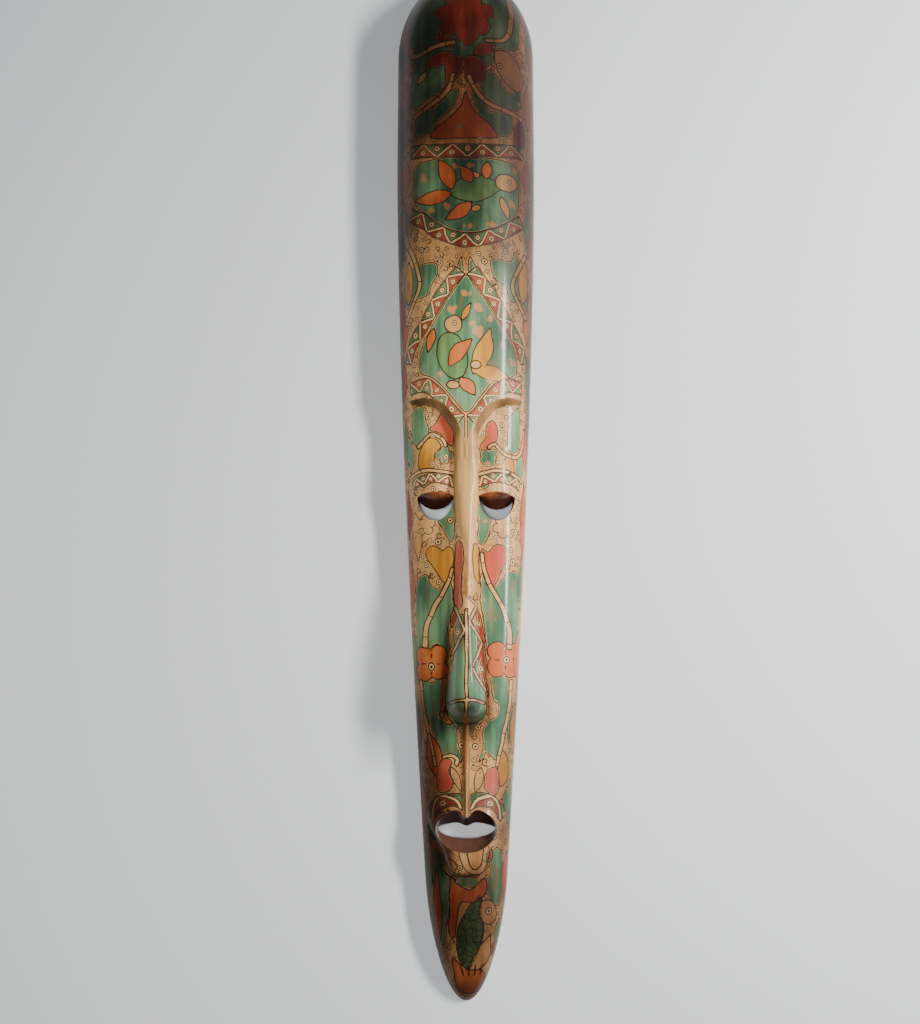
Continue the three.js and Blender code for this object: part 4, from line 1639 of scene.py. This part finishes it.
    def lay(self, mesh: bpy.types.Mesh) -> None:
        """Work out every field at the mesh's points, and store them and the flat map.

        Args:
            mesh: the pierced wood, in metres, with its middle at the origin.
        """
        places = np.empty(len(mesh.vertices) * 3)
        mesh.vertices.foreach_get("co", places)
        x, y, z = (places.reshape(-1, 3) * METRE).T
        y = y + self.chart.carving.length / 2
        u, v = self.chart.skin(x, y, z), y
        tints, bands = self.tints(), triangle_rows()
        drawn_u, drawn_v = self.wobbled(u, v)
        for tint, outlines in tints.items():
            rag = FRAYED.get(tint, PLAIN_FRAY) * self.fray
            if tint is Tint.GREEN:
                rag = rag * (1.0 - 0.9 * between((488.0, 500.0), (785.0, 800.0), v))
            self.store(mesh, tint.value, self.distance(outlines, drawn_u, drawn_v, rag))
        self.lay_joints(mesh, drawn_u, drawn_v)
        cut = 1.0 - smooth_step(-0.4, 0.4, self.distance(tints[Tint.BARE], u, v, 0.0))
        # Stored darkening: brown staining and painted shade together.
        self.store(mesh, "stain_and_shade_depth", StainAndShade(self.chart.carving).depth(u, v, cut))
        self.lay_bands(mesh, bands, drawn_u, drawn_v)
        self.lay_stamps(mesh, self.stamps(tints, bands), drawn_u, drawn_v)
        Layout(self.chart.carving).unwrap(mesh, (x, v, z, u))
        LOG.info("painting: %d outlines, %d bands", sum(len(o) for o in tints.values()), len(bands))

    def store(self, mesh: bpy.types.Mesh, name: str, values: Grid) -> None:
        """Keep a number for every point of the mesh."""
        mesh.attributes.new(name, "FLOAT", "POINT").data.foreach_set("value", values.astype(np.float32))

    def lay_joints(self, mesh: bpy.types.Mesh, u: Grid, v: Grid) -> None:
        """Store the distance along the nearest stem.

        Args:
            mesh: the wood.
            u: places across.
            v: places along.
        """
        found = np.array([stem.places(self.chart, u, v) for stem in jointed_stems()])
        which = np.argmin(found[:, 1], axis=0)
        self.store(mesh, "stem_along", found[which, 0, np.arange(len(u))])

    def lay_bands(self, mesh: bpy.types.Mesh, bands: list[Band], u: Grid, v: Grid) -> None:
        """Store the place in the nearest band and the distance to it.

        Args:
            mesh: the wood.
            bands: the rows of triangles.
            u: places across.
            v: places along.
        """
        found = np.array([band.places(self.chart, u, v) for band in bands])
        which = np.argmin(found[:, 2], axis=0)
        nearest = found[which, :, np.arange(len(u))]
        for name, values in zip(("band_along", "band_over", "band_away"), nearest.T):
            self.store(mesh, name, values)
        self.store(mesh, "band_height", np.array([band.height for band in bands])[which])
        self.store(mesh, "band_period", np.array([band.period for band in bands])[which])

    def lay_stamps(self, mesh: bpy.types.Mesh, stamps: Grid, u: Grid, v: Grid) -> None:
        """Store the way to the middle of the nearest ring or curl, in its radius and its own directions.

        Args:
            mesh: the wood.
            stamps: the rings and curls.
            u: places across.
            v: places along.
        """
        near = np.full(u.shape, np.inf)
        which = np.zeros(u.shape, int)
        for i, middle in enumerate(stamps):
            away = (u - middle[0]) ** 2 + (v - middle[1]) ** 2
            which = np.where(away < near, i, which)
            near = np.minimum(near, away)
        su, sv, radius, turn, kind = stamps[which].T
        a, b = (u - su) / radius, (v - sv) / radius
        self.store(mesh, "stamp_a", a * np.cos(turn) - b * np.sin(turn))
        self.store(mesh, "stamp_b", a * np.sin(turn) + b * np.cos(turn))
        self.store(mesh, "stamp_away", np.sqrt(near) / radius)
        self.store(mesh, "stamp_kind", kind)


def linear(colour: Colour) -> tuple[float, float, float, float]:
    """A colour as seen on a screen, 0 to 255, as the light that a shader works with.

    Args:
        colour: red, green and blue.

    Returns:
        Red, green, blue and full cover, by the usual curve of screens.
    """
    share = np.array(colour) / 255.0
    light = np.where(share <= 0.04045, share / 12.92, ((share + 0.055) / 1.055) ** 2.4)
    return (*[float(c) for c in light], 1.0)


# How a number is led from one value to another.
SMOOTH = {"interpolation_type": "SMOOTHSTEP"}


class Number:
    """A number that a material works out at every place. A sum on it adds a node to the material."""

    def __init__(self, sheet: "Sheet", socket: Socket) -> None:
        """Keep the material and the socket that gives the number."""
        self.sheet = sheet
        self.socket = socket

    def __add__(self, other: "Number | float") -> "Number":
        """The sum of the two."""
        return self.sheet.math("ADD", self, other)

    def __sub__(self, other: "Number | float") -> "Number":
        """This one less the other."""
        return self.sheet.math("SUBTRACT", self, other)

    def __rsub__(self, other: float) -> "Number":
        """The other less this one."""
        return self.sheet.math("SUBTRACT", other, self)

    def __mul__(self, other: "Number | float") -> "Number":
        """The product of the two."""
        return self.sheet.math("MULTIPLY", self, other)

    def __abs__(self) -> "Number":
        """This one without its sign."""
        return self.sheet.math("ABSOLUTE", self)

    def fract(self) -> "Number":
        """What is left over the next whole number below."""
        return self.sheet.math("FRACT", self)

    def least(self, other: "Number | float") -> "Number":
        """The lower of the two."""
        return self.sheet.math("MINIMUM", self, other)

    def either(self, other: "Number | float") -> "Number":
        """The higher of the two, which is what lies in one mark or the other."""
        return self.sheet.math("MAXIMUM", self, other)

    def ramp(self, low: float, high: float, start: float = 0.0, end: float = 1.0) -> "Number":
        """A number that goes smoothly from start to end while this one goes from low to high."""
        inputs = dict(enumerate((self, low, high, start, end)))
        return Number(self.sheet, self.sheet.node("MapRange", inputs, **SMOOTH).outputs[0])

    def under(self, level: float, soft: float = 0.25) -> "Number":
        """1 where this one is under a level, 0 where it is over."""
        return self.ramp(level - soft, level + soft, 1.0, 0.0)

    def line(self, half: float = 0.5) -> "Number":
        """1 where this one, a distance, is about 0."""
        return abs(self).under(half, 0.3)


class Sheet:
    """A material's nodes, made and joined one after the other."""

    def __init__(self, name: str, colour: Colour) -> None:
        """Start a material with a plain shader.

        Args:
            name: what the material is called.
            colour: the colour that all others are laid over.
        """
        self.colour: Socket | Colour = colour
        self.material = bpy.data.materials.new(name)
        self.material.use_nodes = True
        self.nodes = self.material.node_tree.nodes
        self.shader = self.nodes["Principled BSDF"]
        self.place = self.nodes.new("ShaderNodeTexCoord").outputs["Object"]

    def plug(self, socket: Socket, value: "Number | Socket | float | Triple") -> None:
        """Join a socket to another, or set its value.

        Args:
            socket: the socket that takes the value.
            value: a number, a colour or a direction, worked out or fixed.
        """
        value = getattr(value, "socket", value)
        if isinstance(value, bpy.types.NodeSocket):
            self.material.node_tree.links.new(value, socket)
        elif socket.type == "RGBA":
            socket.default_value = linear(value)
        else:
            socket.default_value = value

    def node(self, kind: str, inputs: dict, **settings: str) -> bpy.types.Node:
        """Add a node.

        Args:
            kind: what it does, after ShaderNode.
            inputs: what each of its inputs takes, by name or number.
            settings: its own settings.

        Returns:
            The node.
        """
        node = self.nodes.new("ShaderNode" + kind)
        for name, value in settings.items():
            setattr(node, name, value)
        for key, value in inputs.items():
            self.plug(node.inputs[key], value)
        return node

    def math(self, operation: str, a: "Number | float", b: "Number | float" = 0.0) -> Number:
        """One sum on two numbers, by its name."""
        return Number(self, self.node("Math", {0: a, 1: b}, operation=operation).outputs[0])

    def way(self, a: Number, b: Number) -> Number:
        """The length of the way that goes a across and b along."""
        return self.math("SQRT", a * a + b * b)

    def field(self, name: str) -> Number:
        """A number stored at the mesh's points, by the name of its attribute."""
        return Number(self, self.node("Attribute", {}, attribute_name=name).outputs["Fac"])

    def axis(self, name: str) -> Number:
        """How far a place is along X, Y or Z, in metres."""
        return Number(self, self.node("SeparateXYZ", {0: self.place}).outputs[name])

    def noise(self, scale: float, stretch: Triple = (1.0, 1.0, 1.0), detail: float = 2.0) -> Number:
        """Cloudy noise over the object, 0 to 1.

        Args:
            scale: how fine it is, in a metre.
            stretch: how much finer it is along each direction.
            detail: how many finer layers it has.

        Returns:
            The noise.
        """
        spread = self.node("Mapping", {"Vector": self.place, "Scale": stretch}).outputs[0]
        cloud = self.node("TexNoise", {"Vector": spread, "Scale": scale, "Detail": detail})
        return Number(self, cloud.outputs["Fac"])

    def cells(self, scale: float) -> Number:
        """The distance to the nearest edge in a net of cells, so many of them in a metre."""
        net = self.node("TexVoronoi", {"Vector": self.place, "Scale": scale}, feature="DISTANCE_TO_EDGE")
        return Number(self, net.outputs["Distance"])

    def mix(self, share: Number | float, a: Socket | Colour, b: Socket | Colour, kind: str = "MIX") -> Socket:
        """A share of the second colour laid on the first, in the given way."""
        return self.node("Mix", {0: share, 6: a, 7: b}, data_type="RGBA", blend_type=kind).outputs[2]

    def lay(self, share: Number | float, paint: Socket | Colour, kind: str = "MIX") -> None:
        """Lay a share of a colour over what is there, in the given way."""
        self.colour = self.mix(share, self.colour, paint, kind)

    def bump(self, height: Number, depth: float) -> None:
        """Tilt the shading by a height, where 1 is so deep in metres."""
        tilt = self.node("Bump", {"Strength": 1.0, "Distance": depth, "Height": height})
        self.plug(self.shader.inputs["Normal"], tilt.outputs[0])

    def finished(self, **shine: float) -> bpy.types.Material:
        """Put the colour, and what is the same all over the surface, on the shader.

        Args:
            shine: values of the shader's own sockets, by their names in small letters.

        Returns:
            The material.
        """
        self.plug(self.shader.inputs["Base Color"], self.colour)
        for name, value in shine.items():
            socket = name.replace("_", " ").title().replace("Ior", "IOR")
            self.shader.inputs[socket].default_value = value
        LOG.info("finish: %s", self.material.name)
        return self.material


@dataclass(frozen=True)
class PaintFinish:
    """Paint over a cream ground, drawn lines and clear lacquer.

    A rate says how fine a pattern is, in a metre. Widths and radii are in millimetres, and those of a ring
    or curl in its own radius.
    """

    cream: Colour = (226, 182, 126)
    cream_dark: Colour = (184, 130, 80)
    wax: Colour = (238, 200, 144)
    ink: Colour = (52, 28, 16)
    wood: Colour = (206, 162, 104)
    wood_dark: Colour = (142, 94, 50)
    # Brown laid over stained places and painted shade alike.
    stain_and_shade: Colour = (80, 59, 52)
    scale_ground: Colour = (40, 66, 44)
    lacquer: Colour = (255, 249, 234)
    blush: tuple[Colour, Colour] = ((224, 160, 118), (206, 132, 84))
    row_red: tuple[Colour, Colour] = ((206, 104, 80), (150, 52, 38))
    row_green: tuple[Colour, Colour] = ((122, 160, 116), (62, 98, 64))
    grain_rate: float = 900.0
    cloud_rate: float = 26.0
    brush_rate: float = 170.0
    ragged_rate: float = 420.0
    ragged_depth: float = 1.1
    scallop_rate: float = 300.0
    scallop_depth: float = 7.0
    scallop_gap: float = 6.1
    scrawl_rate: float = 165.0
    scrawl_level: float = 0.56
    scrawl_width: float = 40.0
    scrawl_patches: float = 70.0
    mottle_rate: float = 64.0
    worn_rate: float = 240.0
    scale_rate: float = 190.0
    scales_below: float = -0.38
    line_half: float = 0.55
    wax_edge: float = 0.2
    joint_gap: float = 20.0
    joint_half: float = 0.45
    row_ink: float = 1.35
    row_wax: float = 0.7
    row_slant: float = 0.62
    row_ring: float = 2.8
    row_disc: float = 3.4
    row_dot: float = 0.85
    row_height: float = 12.5
    ring_disc: float = 1.3
    ring_dot: float = 0.4
    curl_start: float = 0.95
    curl_growth: float = 0.16
    stroke: float = 0.2
    roughness: float = 0.5
    coat: float = 0.24
    coat_roughness: float = 0.12
    specular: float = 0.25
    brush_depth: float = 0.00022

    def paints(self) -> dict[Tint, tuple[Colour, Colour, float]]:
        """The paints.

        Returns:
            Light and dark of each, and how far inside its outline it starts.
        """
        return {
            Tint.GREEN: ((122, 160, 122), (56, 100, 76), 0.9),
            Tint.OLIVE: ((122, 154, 98), (78, 116, 72), 0.1),
            Tint.OCHRE: ((224, 166, 74), (190, 124, 42), 0.5),
            Tint.TAN: ((218, 168, 112), (192, 136, 84), 0.1),
            Tint.ORANGE: ((214, 126, 72), (188, 90, 48), 0.4),
            Tint.SALMON: ((214, 108, 80), (186, 76, 58), 0.7),
            Tint.RED: ((178, 70, 48), (118, 40, 32), 0.7),
        }

    def material(self) -> bpy.types.Material:
        """Lay ground, paints, stems, bands, marks and bare wood over each other.

        Returns:
            The material.
        """
        sheet = Lacquer(self)
        sheet.ground()
        sheet.paint()
        sheet.scales()
        sheet.spots()
        sheet.stems()
        sheet.bands()
        sheet.marks()
        sheet.bare()
        sheet.age()
        sheet.lay(1.0, self.lacquer, "MULTIPLY")
        sheet.bump(sheet.brush + sheet.fine * 0.3, self.brush_depth)
        return sheet.finished(
            roughness=self.roughness,
            coat_weight=self.coat,
            coat_roughness=self.coat_roughness,
            specular_ior_level=self.specular,
        )


class Lacquer(Sheet):
    """The material of the painted skin, which is laid coat by coat."""

    def __init__(self, look: PaintFinish) -> None:
        """Work out what the coats share: fine grain, broad clouds, brush strokes and light and dark.

        Args:
            look: the finish.
        """
        super().__init__("painted_lacquer", look.cream)
        self.look = look
        self.fine = self.noise(look.grain_rate, (1.0, 0.06, 1.0))
        self.broad = self.noise(look.cloud_rate, (1.0, 0.45, 1.0), 3.0)
        self.brush = self.noise(look.brush_rate, (1.0, 0.05, 1.0), 3.0)
        self.tone = (self.broad * 0.6 + self.brush * 0.4).ramp(0.36, 0.64)

    def spots(self) -> None:
        """Soft pink spots on the green grounds."""
        spots = self.field(Tint.BLUSH.value).under(-0.6, 1.0) * 0.8
        self.lay(spots, self.mix(self.tone, *self.look.blush))

    def bare(self) -> None:
        """Wood that was cut after painting."""
        wood = self.mix(self.tone, self.look.wood, self.look.wood_dark)
        self.lay(self.field(Tint.BARE.value).under(0.0), wood)

    def ground(self) -> None:
        """Cream, with a scalloped line round the green grounds and thin scrawls in patches."""
        look = self.look
        self.lay(self.tone * 0.75, look.cream_dark)
        scallop = self.noise(look.scallop_rate) * look.scallop_depth + self.field(Tint.GREEN.value)
        self.lay((scallop - look.scallop_gap).line(0.3) * 0.75, look.ink)
        scrawl = (self.noise(look.scrawl_rate, detail=0.0) - look.scrawl_level) * look.scrawl_width
        patches = self.noise(look.scrawl_patches).ramp(0.42, 0.47)
        self.lay(scrawl.line(0.7) * patches * 0.8, look.ink)

    def paint(self) -> None:
        """Each paint in its outlines, with a bare cream edge and a dark line round it, and brown clouds."""
        look = self.look
        ragged = (self.noise(look.ragged_rate) - 0.5) * look.ragged_depth
        for tint, (light, dark, inset) in look.paints().items():
            away = self.field(tint.value)
            self.lay(away.under(look.wax_edge), look.wax)
            self.lay((away + ragged).under(-inset), self.mix(self.tone, light, dark))
            self.lay(away.line(look.line_half), look.ink)
        mottle = self.noise(look.mottle_rate, (1.0, 0.55, 1.0), 5.0)
        self.lay(mottle.ramp(0.54, 0.7, 0.0, 0.42), look.wood_dark)

    def scales(self) -> None:
        """A net of dark lines on the body of the fish on the chin."""
        look = self.look
        on_body = self.field(Tint.OLIVE.value).under(-0.5) * self.axis("Y").under(look.scales_below, 0.001)
        self.lay(on_body * 0.55, look.scale_ground)
        self.lay(self.cells(look.scale_rate).under(0.045, 0.03) * on_body, look.ink)

    def stems(self) -> None:
        """Cream stems with dark edges, and leaves that are only drawn."""
        look = self.look
        stem = self.field(Tint.CREAM.value)
        self.lay(stem.under(0.0), self.mix(self.noise(60.0), look.wax, look.cream_dark))
        joint = (self.field("stem_along") * (1.0 / look.joint_gap)).fract() - 0.5
        joint = (joint * look.joint_gap).line(look.joint_half) * stem.under(-0.4)
        self.lay(stem.line(look.line_half).either(joint), look.ink)
        self.lay(self.field(Tint.LINE.value).line(0.5) * 0.9, look.ink)

    def bands(self) -> None:
        """Rows of triangles, red and green by turns, with cream lines between and a ring in each.

        A triangle wave along the row divides it in triangles that stand and triangles that hang.
        """
        look = self.look
        along, over, away = (self.field(name) for name in ("band_along", "band_over", "band_away"))
        height, period = self.field("band_height"), self.field("band_period")
        above = over - (1.0 - abs(along.fract() * 2.0 - 1.0))
        hangs = self.math("GREATER_THAN", above, 0.0)
        row = self.mix(hangs, self.mix(self.tone, *look.row_red), self.mix(self.tone, *look.row_green))
        inset = (abs(above) * height * look.row_slant).least(over.least(1.0 - over) * height)
        row = self.mix(inset.under(look.row_ink), row, look.ink)
        row = self.mix(inset.under(look.row_wax), row, look.wax)
        side = ((along + hangs * 0.5).fract() - 0.5) * period
        rise = (over - (hangs * 0.3 + 0.35)) * height
        reach = self.way(side, rise) * self.math("DIVIDE", look.row_height, height)
        row = self.mix(reach.under(look.row_disc), row, look.wax)
        row = self.mix((reach - look.row_ring).line(0.45), row, look.ink)
        row = self.mix(reach.under(look.row_dot), row, look.ink)
        self.lay(away.under(0.0), row)
        self.lay(away.line(look.line_half), look.ink)

    def marks(self) -> None:
        """Rings with a dot in them, and curls: a line whose radius grows as it goes round."""
        look = self.look
        a, b, curled = (self.field(name) for name in ("stamp_a", "stamp_b", "stamp_kind"))
        reach = self.way(a, b)
        near = self.field("stamp_away").under(1.75, 0.1)
        turn = self.math("ARCTAN2", b, a) * look.curl_growth + look.curl_start
        curl = abs(reach - turn).under(look.stroke, 0.08).either(reach.under(look.stroke, 0.1))
        ring = abs(reach - 1.0).under(look.stroke, 0.08).either(reach.under(look.ring_dot, 0.08))
        round_one = 1.0 - curled
        self.lay(reach.under(look.ring_disc, 0.1) * round_one * near, look.wax)
        self.lay((ring * round_one).either(curl * curled) * near, look.ink)

    def age(self) -> None:
        """Brown staining and painted shade towards the crown, the chin and the sides, painted shade on the
        left and beside the nose, worn spots and dark grain.
        """
        look = self.look
        # The stored darkening: brown staining together with painted shade.
        stain_and_shade_depth = self.field("stain_and_shade_depth")
        share = stain_and_shade_depth + (self.broad - 0.5) * 0.9 * stain_and_shade_depth.ramp(0.0, 0.5, 0.3, 1.0)
        self.lay(share.ramp(0.02, 1.0, 0.0, 0.97), look.stain_and_shade, "MULTIPLY")
        worn = self.noise(look.worn_rate, (1.0, 0.3, 1.0), 4.0).ramp(0.66, 0.72, 0.0, 0.5)
        self.lay(worn * stain_and_shade_depth.ramp(0.3, 0.7, 1.0, 0.0), look.wood)
        grain = self.fine.ramp(0.56, 0.8, 0.0, 0.4) * stain_and_shade_depth.ramp(0.3, 0.7, 1.0, 0.1)
        self.lay(grain, look.wood_dark)


@dataclass(frozen=True)
class HollowFinish:
    """Plain brown wood with the marks of a gouge."""

    light: Colour = (150, 104, 64)
    dark: Colour = (96, 62, 38)
    grain_rate: float = 520.0
    cut_rate: float = 110.0
    cut_depth: float = 0.0016
    roughness: float = 0.78

    def material(self) -> bpy.types.Material:
        """Grain along the length under broad shallow cuts.

        Returns:
            The material.
        """
        sheet = Sheet("gouged_wood", self.light)
        grain = sheet.noise(self.grain_rate, (1.0, 0.04, 1.0), 4.0)
        cuts = sheet.noise(self.cut_rate, (1.0, 0.35, 1.0), 1.0)
        sheet.lay(grain.ramp(0.35, 0.68), self.dark)
        sheet.lay(cuts.ramp(0.5, 0.75, 0.0, 0.4), self.dark)
        sheet.bump(cuts + grain * 0.15, self.cut_depth)
        return sheet.finished(roughness=self.roughness)


@dataclass(frozen=True)
class LidFinish:
    """The walls of the eyes, scooped after painting: orange brown wood near the face, painted nearly black
    deeper in as shade inside the opening.
    """

    light: Colour = (164, 92, 50)
    dark: Colour = (62, 32, 22)
    dark_height: float = 0.041
    light_height: float = 0.054
    patch_rate: float = 90.0
    patch_reach: float = 0.014
    grain_rate: float = 500.0
    roughness: float = 0.35
    coat: float = 0.5
    coat_roughness: float = 0.15

    def material(self) -> bpy.types.Material:
        """Light wood on the face that grows dark with depth, as painted shade inside the opening.

        Returns:
            The material.
        """
        sheet = Sheet("scooped_lid", self.dark)
        patch = sheet.noise(self.patch_rate, (1.0, 0.6, 1.0), 3.0) * self.patch_reach
        # Painted shade: darker the deeper the wall goes into the opening.
        sheet.lay((sheet.axis("Z") + patch).ramp(self.dark_height, self.light_height), self.light)
        grain = sheet.noise(self.grain_rate, (1.0, 0.1, 1.0)).ramp(0.55, 0.75, 0.0, 0.5)
        sheet.lay(grain, self.dark)
        return sheet.finished(
            roughness=self.roughness, coat_weight=self.coat, coat_roughness=self.coat_roughness
        )


@dataclass(frozen=True)
class LipFinish:
    """The lips, stained dark brown, with the upper one painted nearly black as shade, since it faces down
    away from the light.
    """

    upper: Colour = (48, 31, 28)
    lower: Colour = (90, 58, 46)
    middle: float = -0.351
    fade: float = 0.002
    grain_rate: float = 300.0
    roughness: float = 0.4
    coat: float = 0.45
    coat_roughness: float = 0.18

    def material(self) -> bpy.types.Material:
        """Painted shade, nearly black, above the mouth, and brown below it.

        Returns:
            The material.
        """
        sheet = Sheet("stained_and_shaded_lips", self.lower)
        # Painted shade on the upper lip, which faces down.
        sheet.lay(sheet.axis("Y").ramp(self.middle - self.fade, self.middle + self.fade), self.upper)
        grain = sheet.noise(self.grain_rate, (1.0, 0.2, 1.0), 3.0).ramp(0.5, 0.75, 0.0, 0.35)
        sheet.lay(grain, self.upper)
        return sheet.finished(
            roughness=self.roughness, coat_weight=self.coat, coat_roughness=self.coat_roughness
        )


@dataclass
class WallMask:
    """The mask: one piece of wood, carved, hollowed, pierced and painted."""

    node: str = "mask"
    slot: str = "painted_wood"
    sharp_angle: float = 38.0

    def build(self) -> bpy.types.Object:
        """Make the wood, pierce it and put it in the place of the plain solid.

        Returns:
            The wood.
        """
        low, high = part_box(self.node)
        carving = Carving(length=METRE * (high.y - low.y), width=METRE * (high.x - low.x))
        wood = self.place("painted_mask", Shell(carving).mesh("painted_mask"))
        opening = Opening(carving)
        cuts = [opening.eye(1), opening.eye(-1), opening.mouth()]
        for finish in (PaintFinish(), HollowFinish(), LidFinish(), LipFinish()):
            wood.data.materials.append(finish.material())
        for mesh, slot in zip(cuts, (Finish.LID, Finish.LID, Finish.LIP)):
            mesh.materials.append(wood.data.materials[slot.value])
        self.pierce(wood, cuts)
        wood.data.shade_smooth()
        wood.data.set_sharp_from_angle(angle=math.radians(self.sharp_angle))
        Painting(Chart(carving)).lay(wood.data)
        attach(wood, "root")
        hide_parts(self.node)
        LOG.info("mask: %d faces", len(wood.data.polygons))
        return wood

    def place(self, name: str, mesh: bpy.types.Mesh) -> bpy.types.Object:
        """Link a mesh to the scene as an object at the origin.

        Args:
            name: name of the object.
            mesh: its mesh.

        Returns:
            The object.
        """
        piece = bpy.data.objects.new(name, mesh)
        bpy.context.scene.collection.objects.link(piece)
        return piece

    def pierce(self, wood: bpy.types.Object, cuts: list[bpy.types.Mesh]) -> None:
        """Cut each opening out of the wood, keeping the finish of the cut's own faces.

        Args:
            wood: the wood.
            cuts: what is taken out.
        """
        tools = [self.place(mesh.name, mesh) for mesh in cuts]
        for tool in tools:
            modifier = wood.modifiers.new(tool.name, "BOOLEAN")
            modifier.operation = "DIFFERENCE"
            modifier.object = tool
            modifier.solver = "EXACT"
            modifier.material_mode = "TRANSFER"
        whole = wood.evaluated_get(bpy.context.evaluated_depsgraph_get())
        pierced = bpy.data.meshes.new_from_object(whole)
        wood.modifiers.clear()
        plain, wood.data = wood.data, pierced
        pierced.name = wood.name
        bpy.data.meshes.remove(plain)
        for tool in tools:
            bpy.data.meshes.remove(tool.data)


@dataclass
class Studio:
    """A pale floor under soft light, seen from where the photograph was taken. Lengths are in metres."""

    camera_x: float = -0.0057
    camera_y: float = -0.2628
    camera_z: float = 1.1677
    lean: float = 10.07
    lens: float = 43.46
    floor_size: float = 6.0
    floor_gap: float = 0.0005
    floor_light: Triple = (0.74, 0.755, 0.77)
    floor_roughness: float = 0.9
    sky_light: Triple = (0.9, 0.94, 1.0)
    sky_strength: float = 0.09

    def build(self) -> None:
        """Set the floor, the lights and the camera."""
        self.floor()
        self.lights()
        self.camera()

    def floor(self) -> None:
        """A flat pale square on the back plane."""
        half = self.floor_size / 2
        corners = [(-half, -half, 0.0), (half, -half, 0.0), (half, half, 0.0), (-half, half, 0.0)]
        mesh = bpy.data.meshes.new("floor")
        mesh.from_pydata(corners, [], [(0, 1, 2, 3)])
        material = bpy.data.materials.new("pale_floor")
        material.use_nodes = True
        shader = material.node_tree.nodes["Principled BSDF"]
        shader.inputs["Base Color"].default_value = (*self.floor_light, 1.0)
        shader.inputs["Roughness"].default_value = self.floor_roughness
        mesh.materials.append(material)
        floor = bpy.data.objects.new("floor", mesh)
        floor.location.z = -self.floor_gap
        bpy.context.scene.collection.objects.link(floor)
        LOG.info("floor: %.1f m square", self.floor_size)

    def lights(self) -> None:
        """A key light from the right, a lamp beside the camera and an even sky."""
        self.light("key", (1.2, 0.2, 0.9), (0.8, 0.14), 42.0)
        self.light("front", (-0.08, -0.3, 1.3), (0.2, 0.2), 11.5).visible_glossy = False
        world = bpy.data.worlds.new("sky")
        world.use_nodes = True
        light = world.node_tree.nodes["Background"].inputs
        light["Color"].default_value = (*self.sky_light, 1.0)
        light["Strength"].default_value = self.sky_strength
        bpy.context.scene.world = world

    def light(self, name: str, place: Triple, size: Span, power: float) -> bpy.types.Object:
        """A lamp that faces the middle of the mask.

        Args:
            name: what it is called.
            place: where it hangs, in metres.
            size: its length along the mask and its width.
            power: its power in watts.

        Returns:
            The lamp.
        """
        lamp = bpy.data.lights.new(name, "AREA")
        lamp.shape = "RECTANGLE"
        lamp.size, lamp.size_y = size
        lamp.energy = power
        holder = bpy.data.objects.new(name, lamp)
        holder.location = place
        holder.rotation_euler = Vector(place).to_track_quat("Z", "Y").to_euler()
        bpy.context.scene.collection.objects.link(holder)
        return holder

    def camera(self) -> None:
        """The photograph's viewpoint: under the chin's end, leaning towards the crown."""
        lens = bpy.data.cameras.new("camera")
        lens.lens = self.lens
        camera = bpy.data.objects.new("camera", lens)
        camera.location = (self.camera_x, self.camera_y, self.camera_z)
        camera.rotation_euler = (math.radians(self.lean), 0.0, 0.0)
        bpy.context.scene.collection.objects.link(camera)
        bpy.context.scene.camera = camera


def main() -> None:
    """Build the mask and its setting."""
    logging.basicConfig(level=logging.INFO, format="%(message)s")
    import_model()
    WallMask().build()
    Studio().build()


if __name__ == "__main__":
    main()
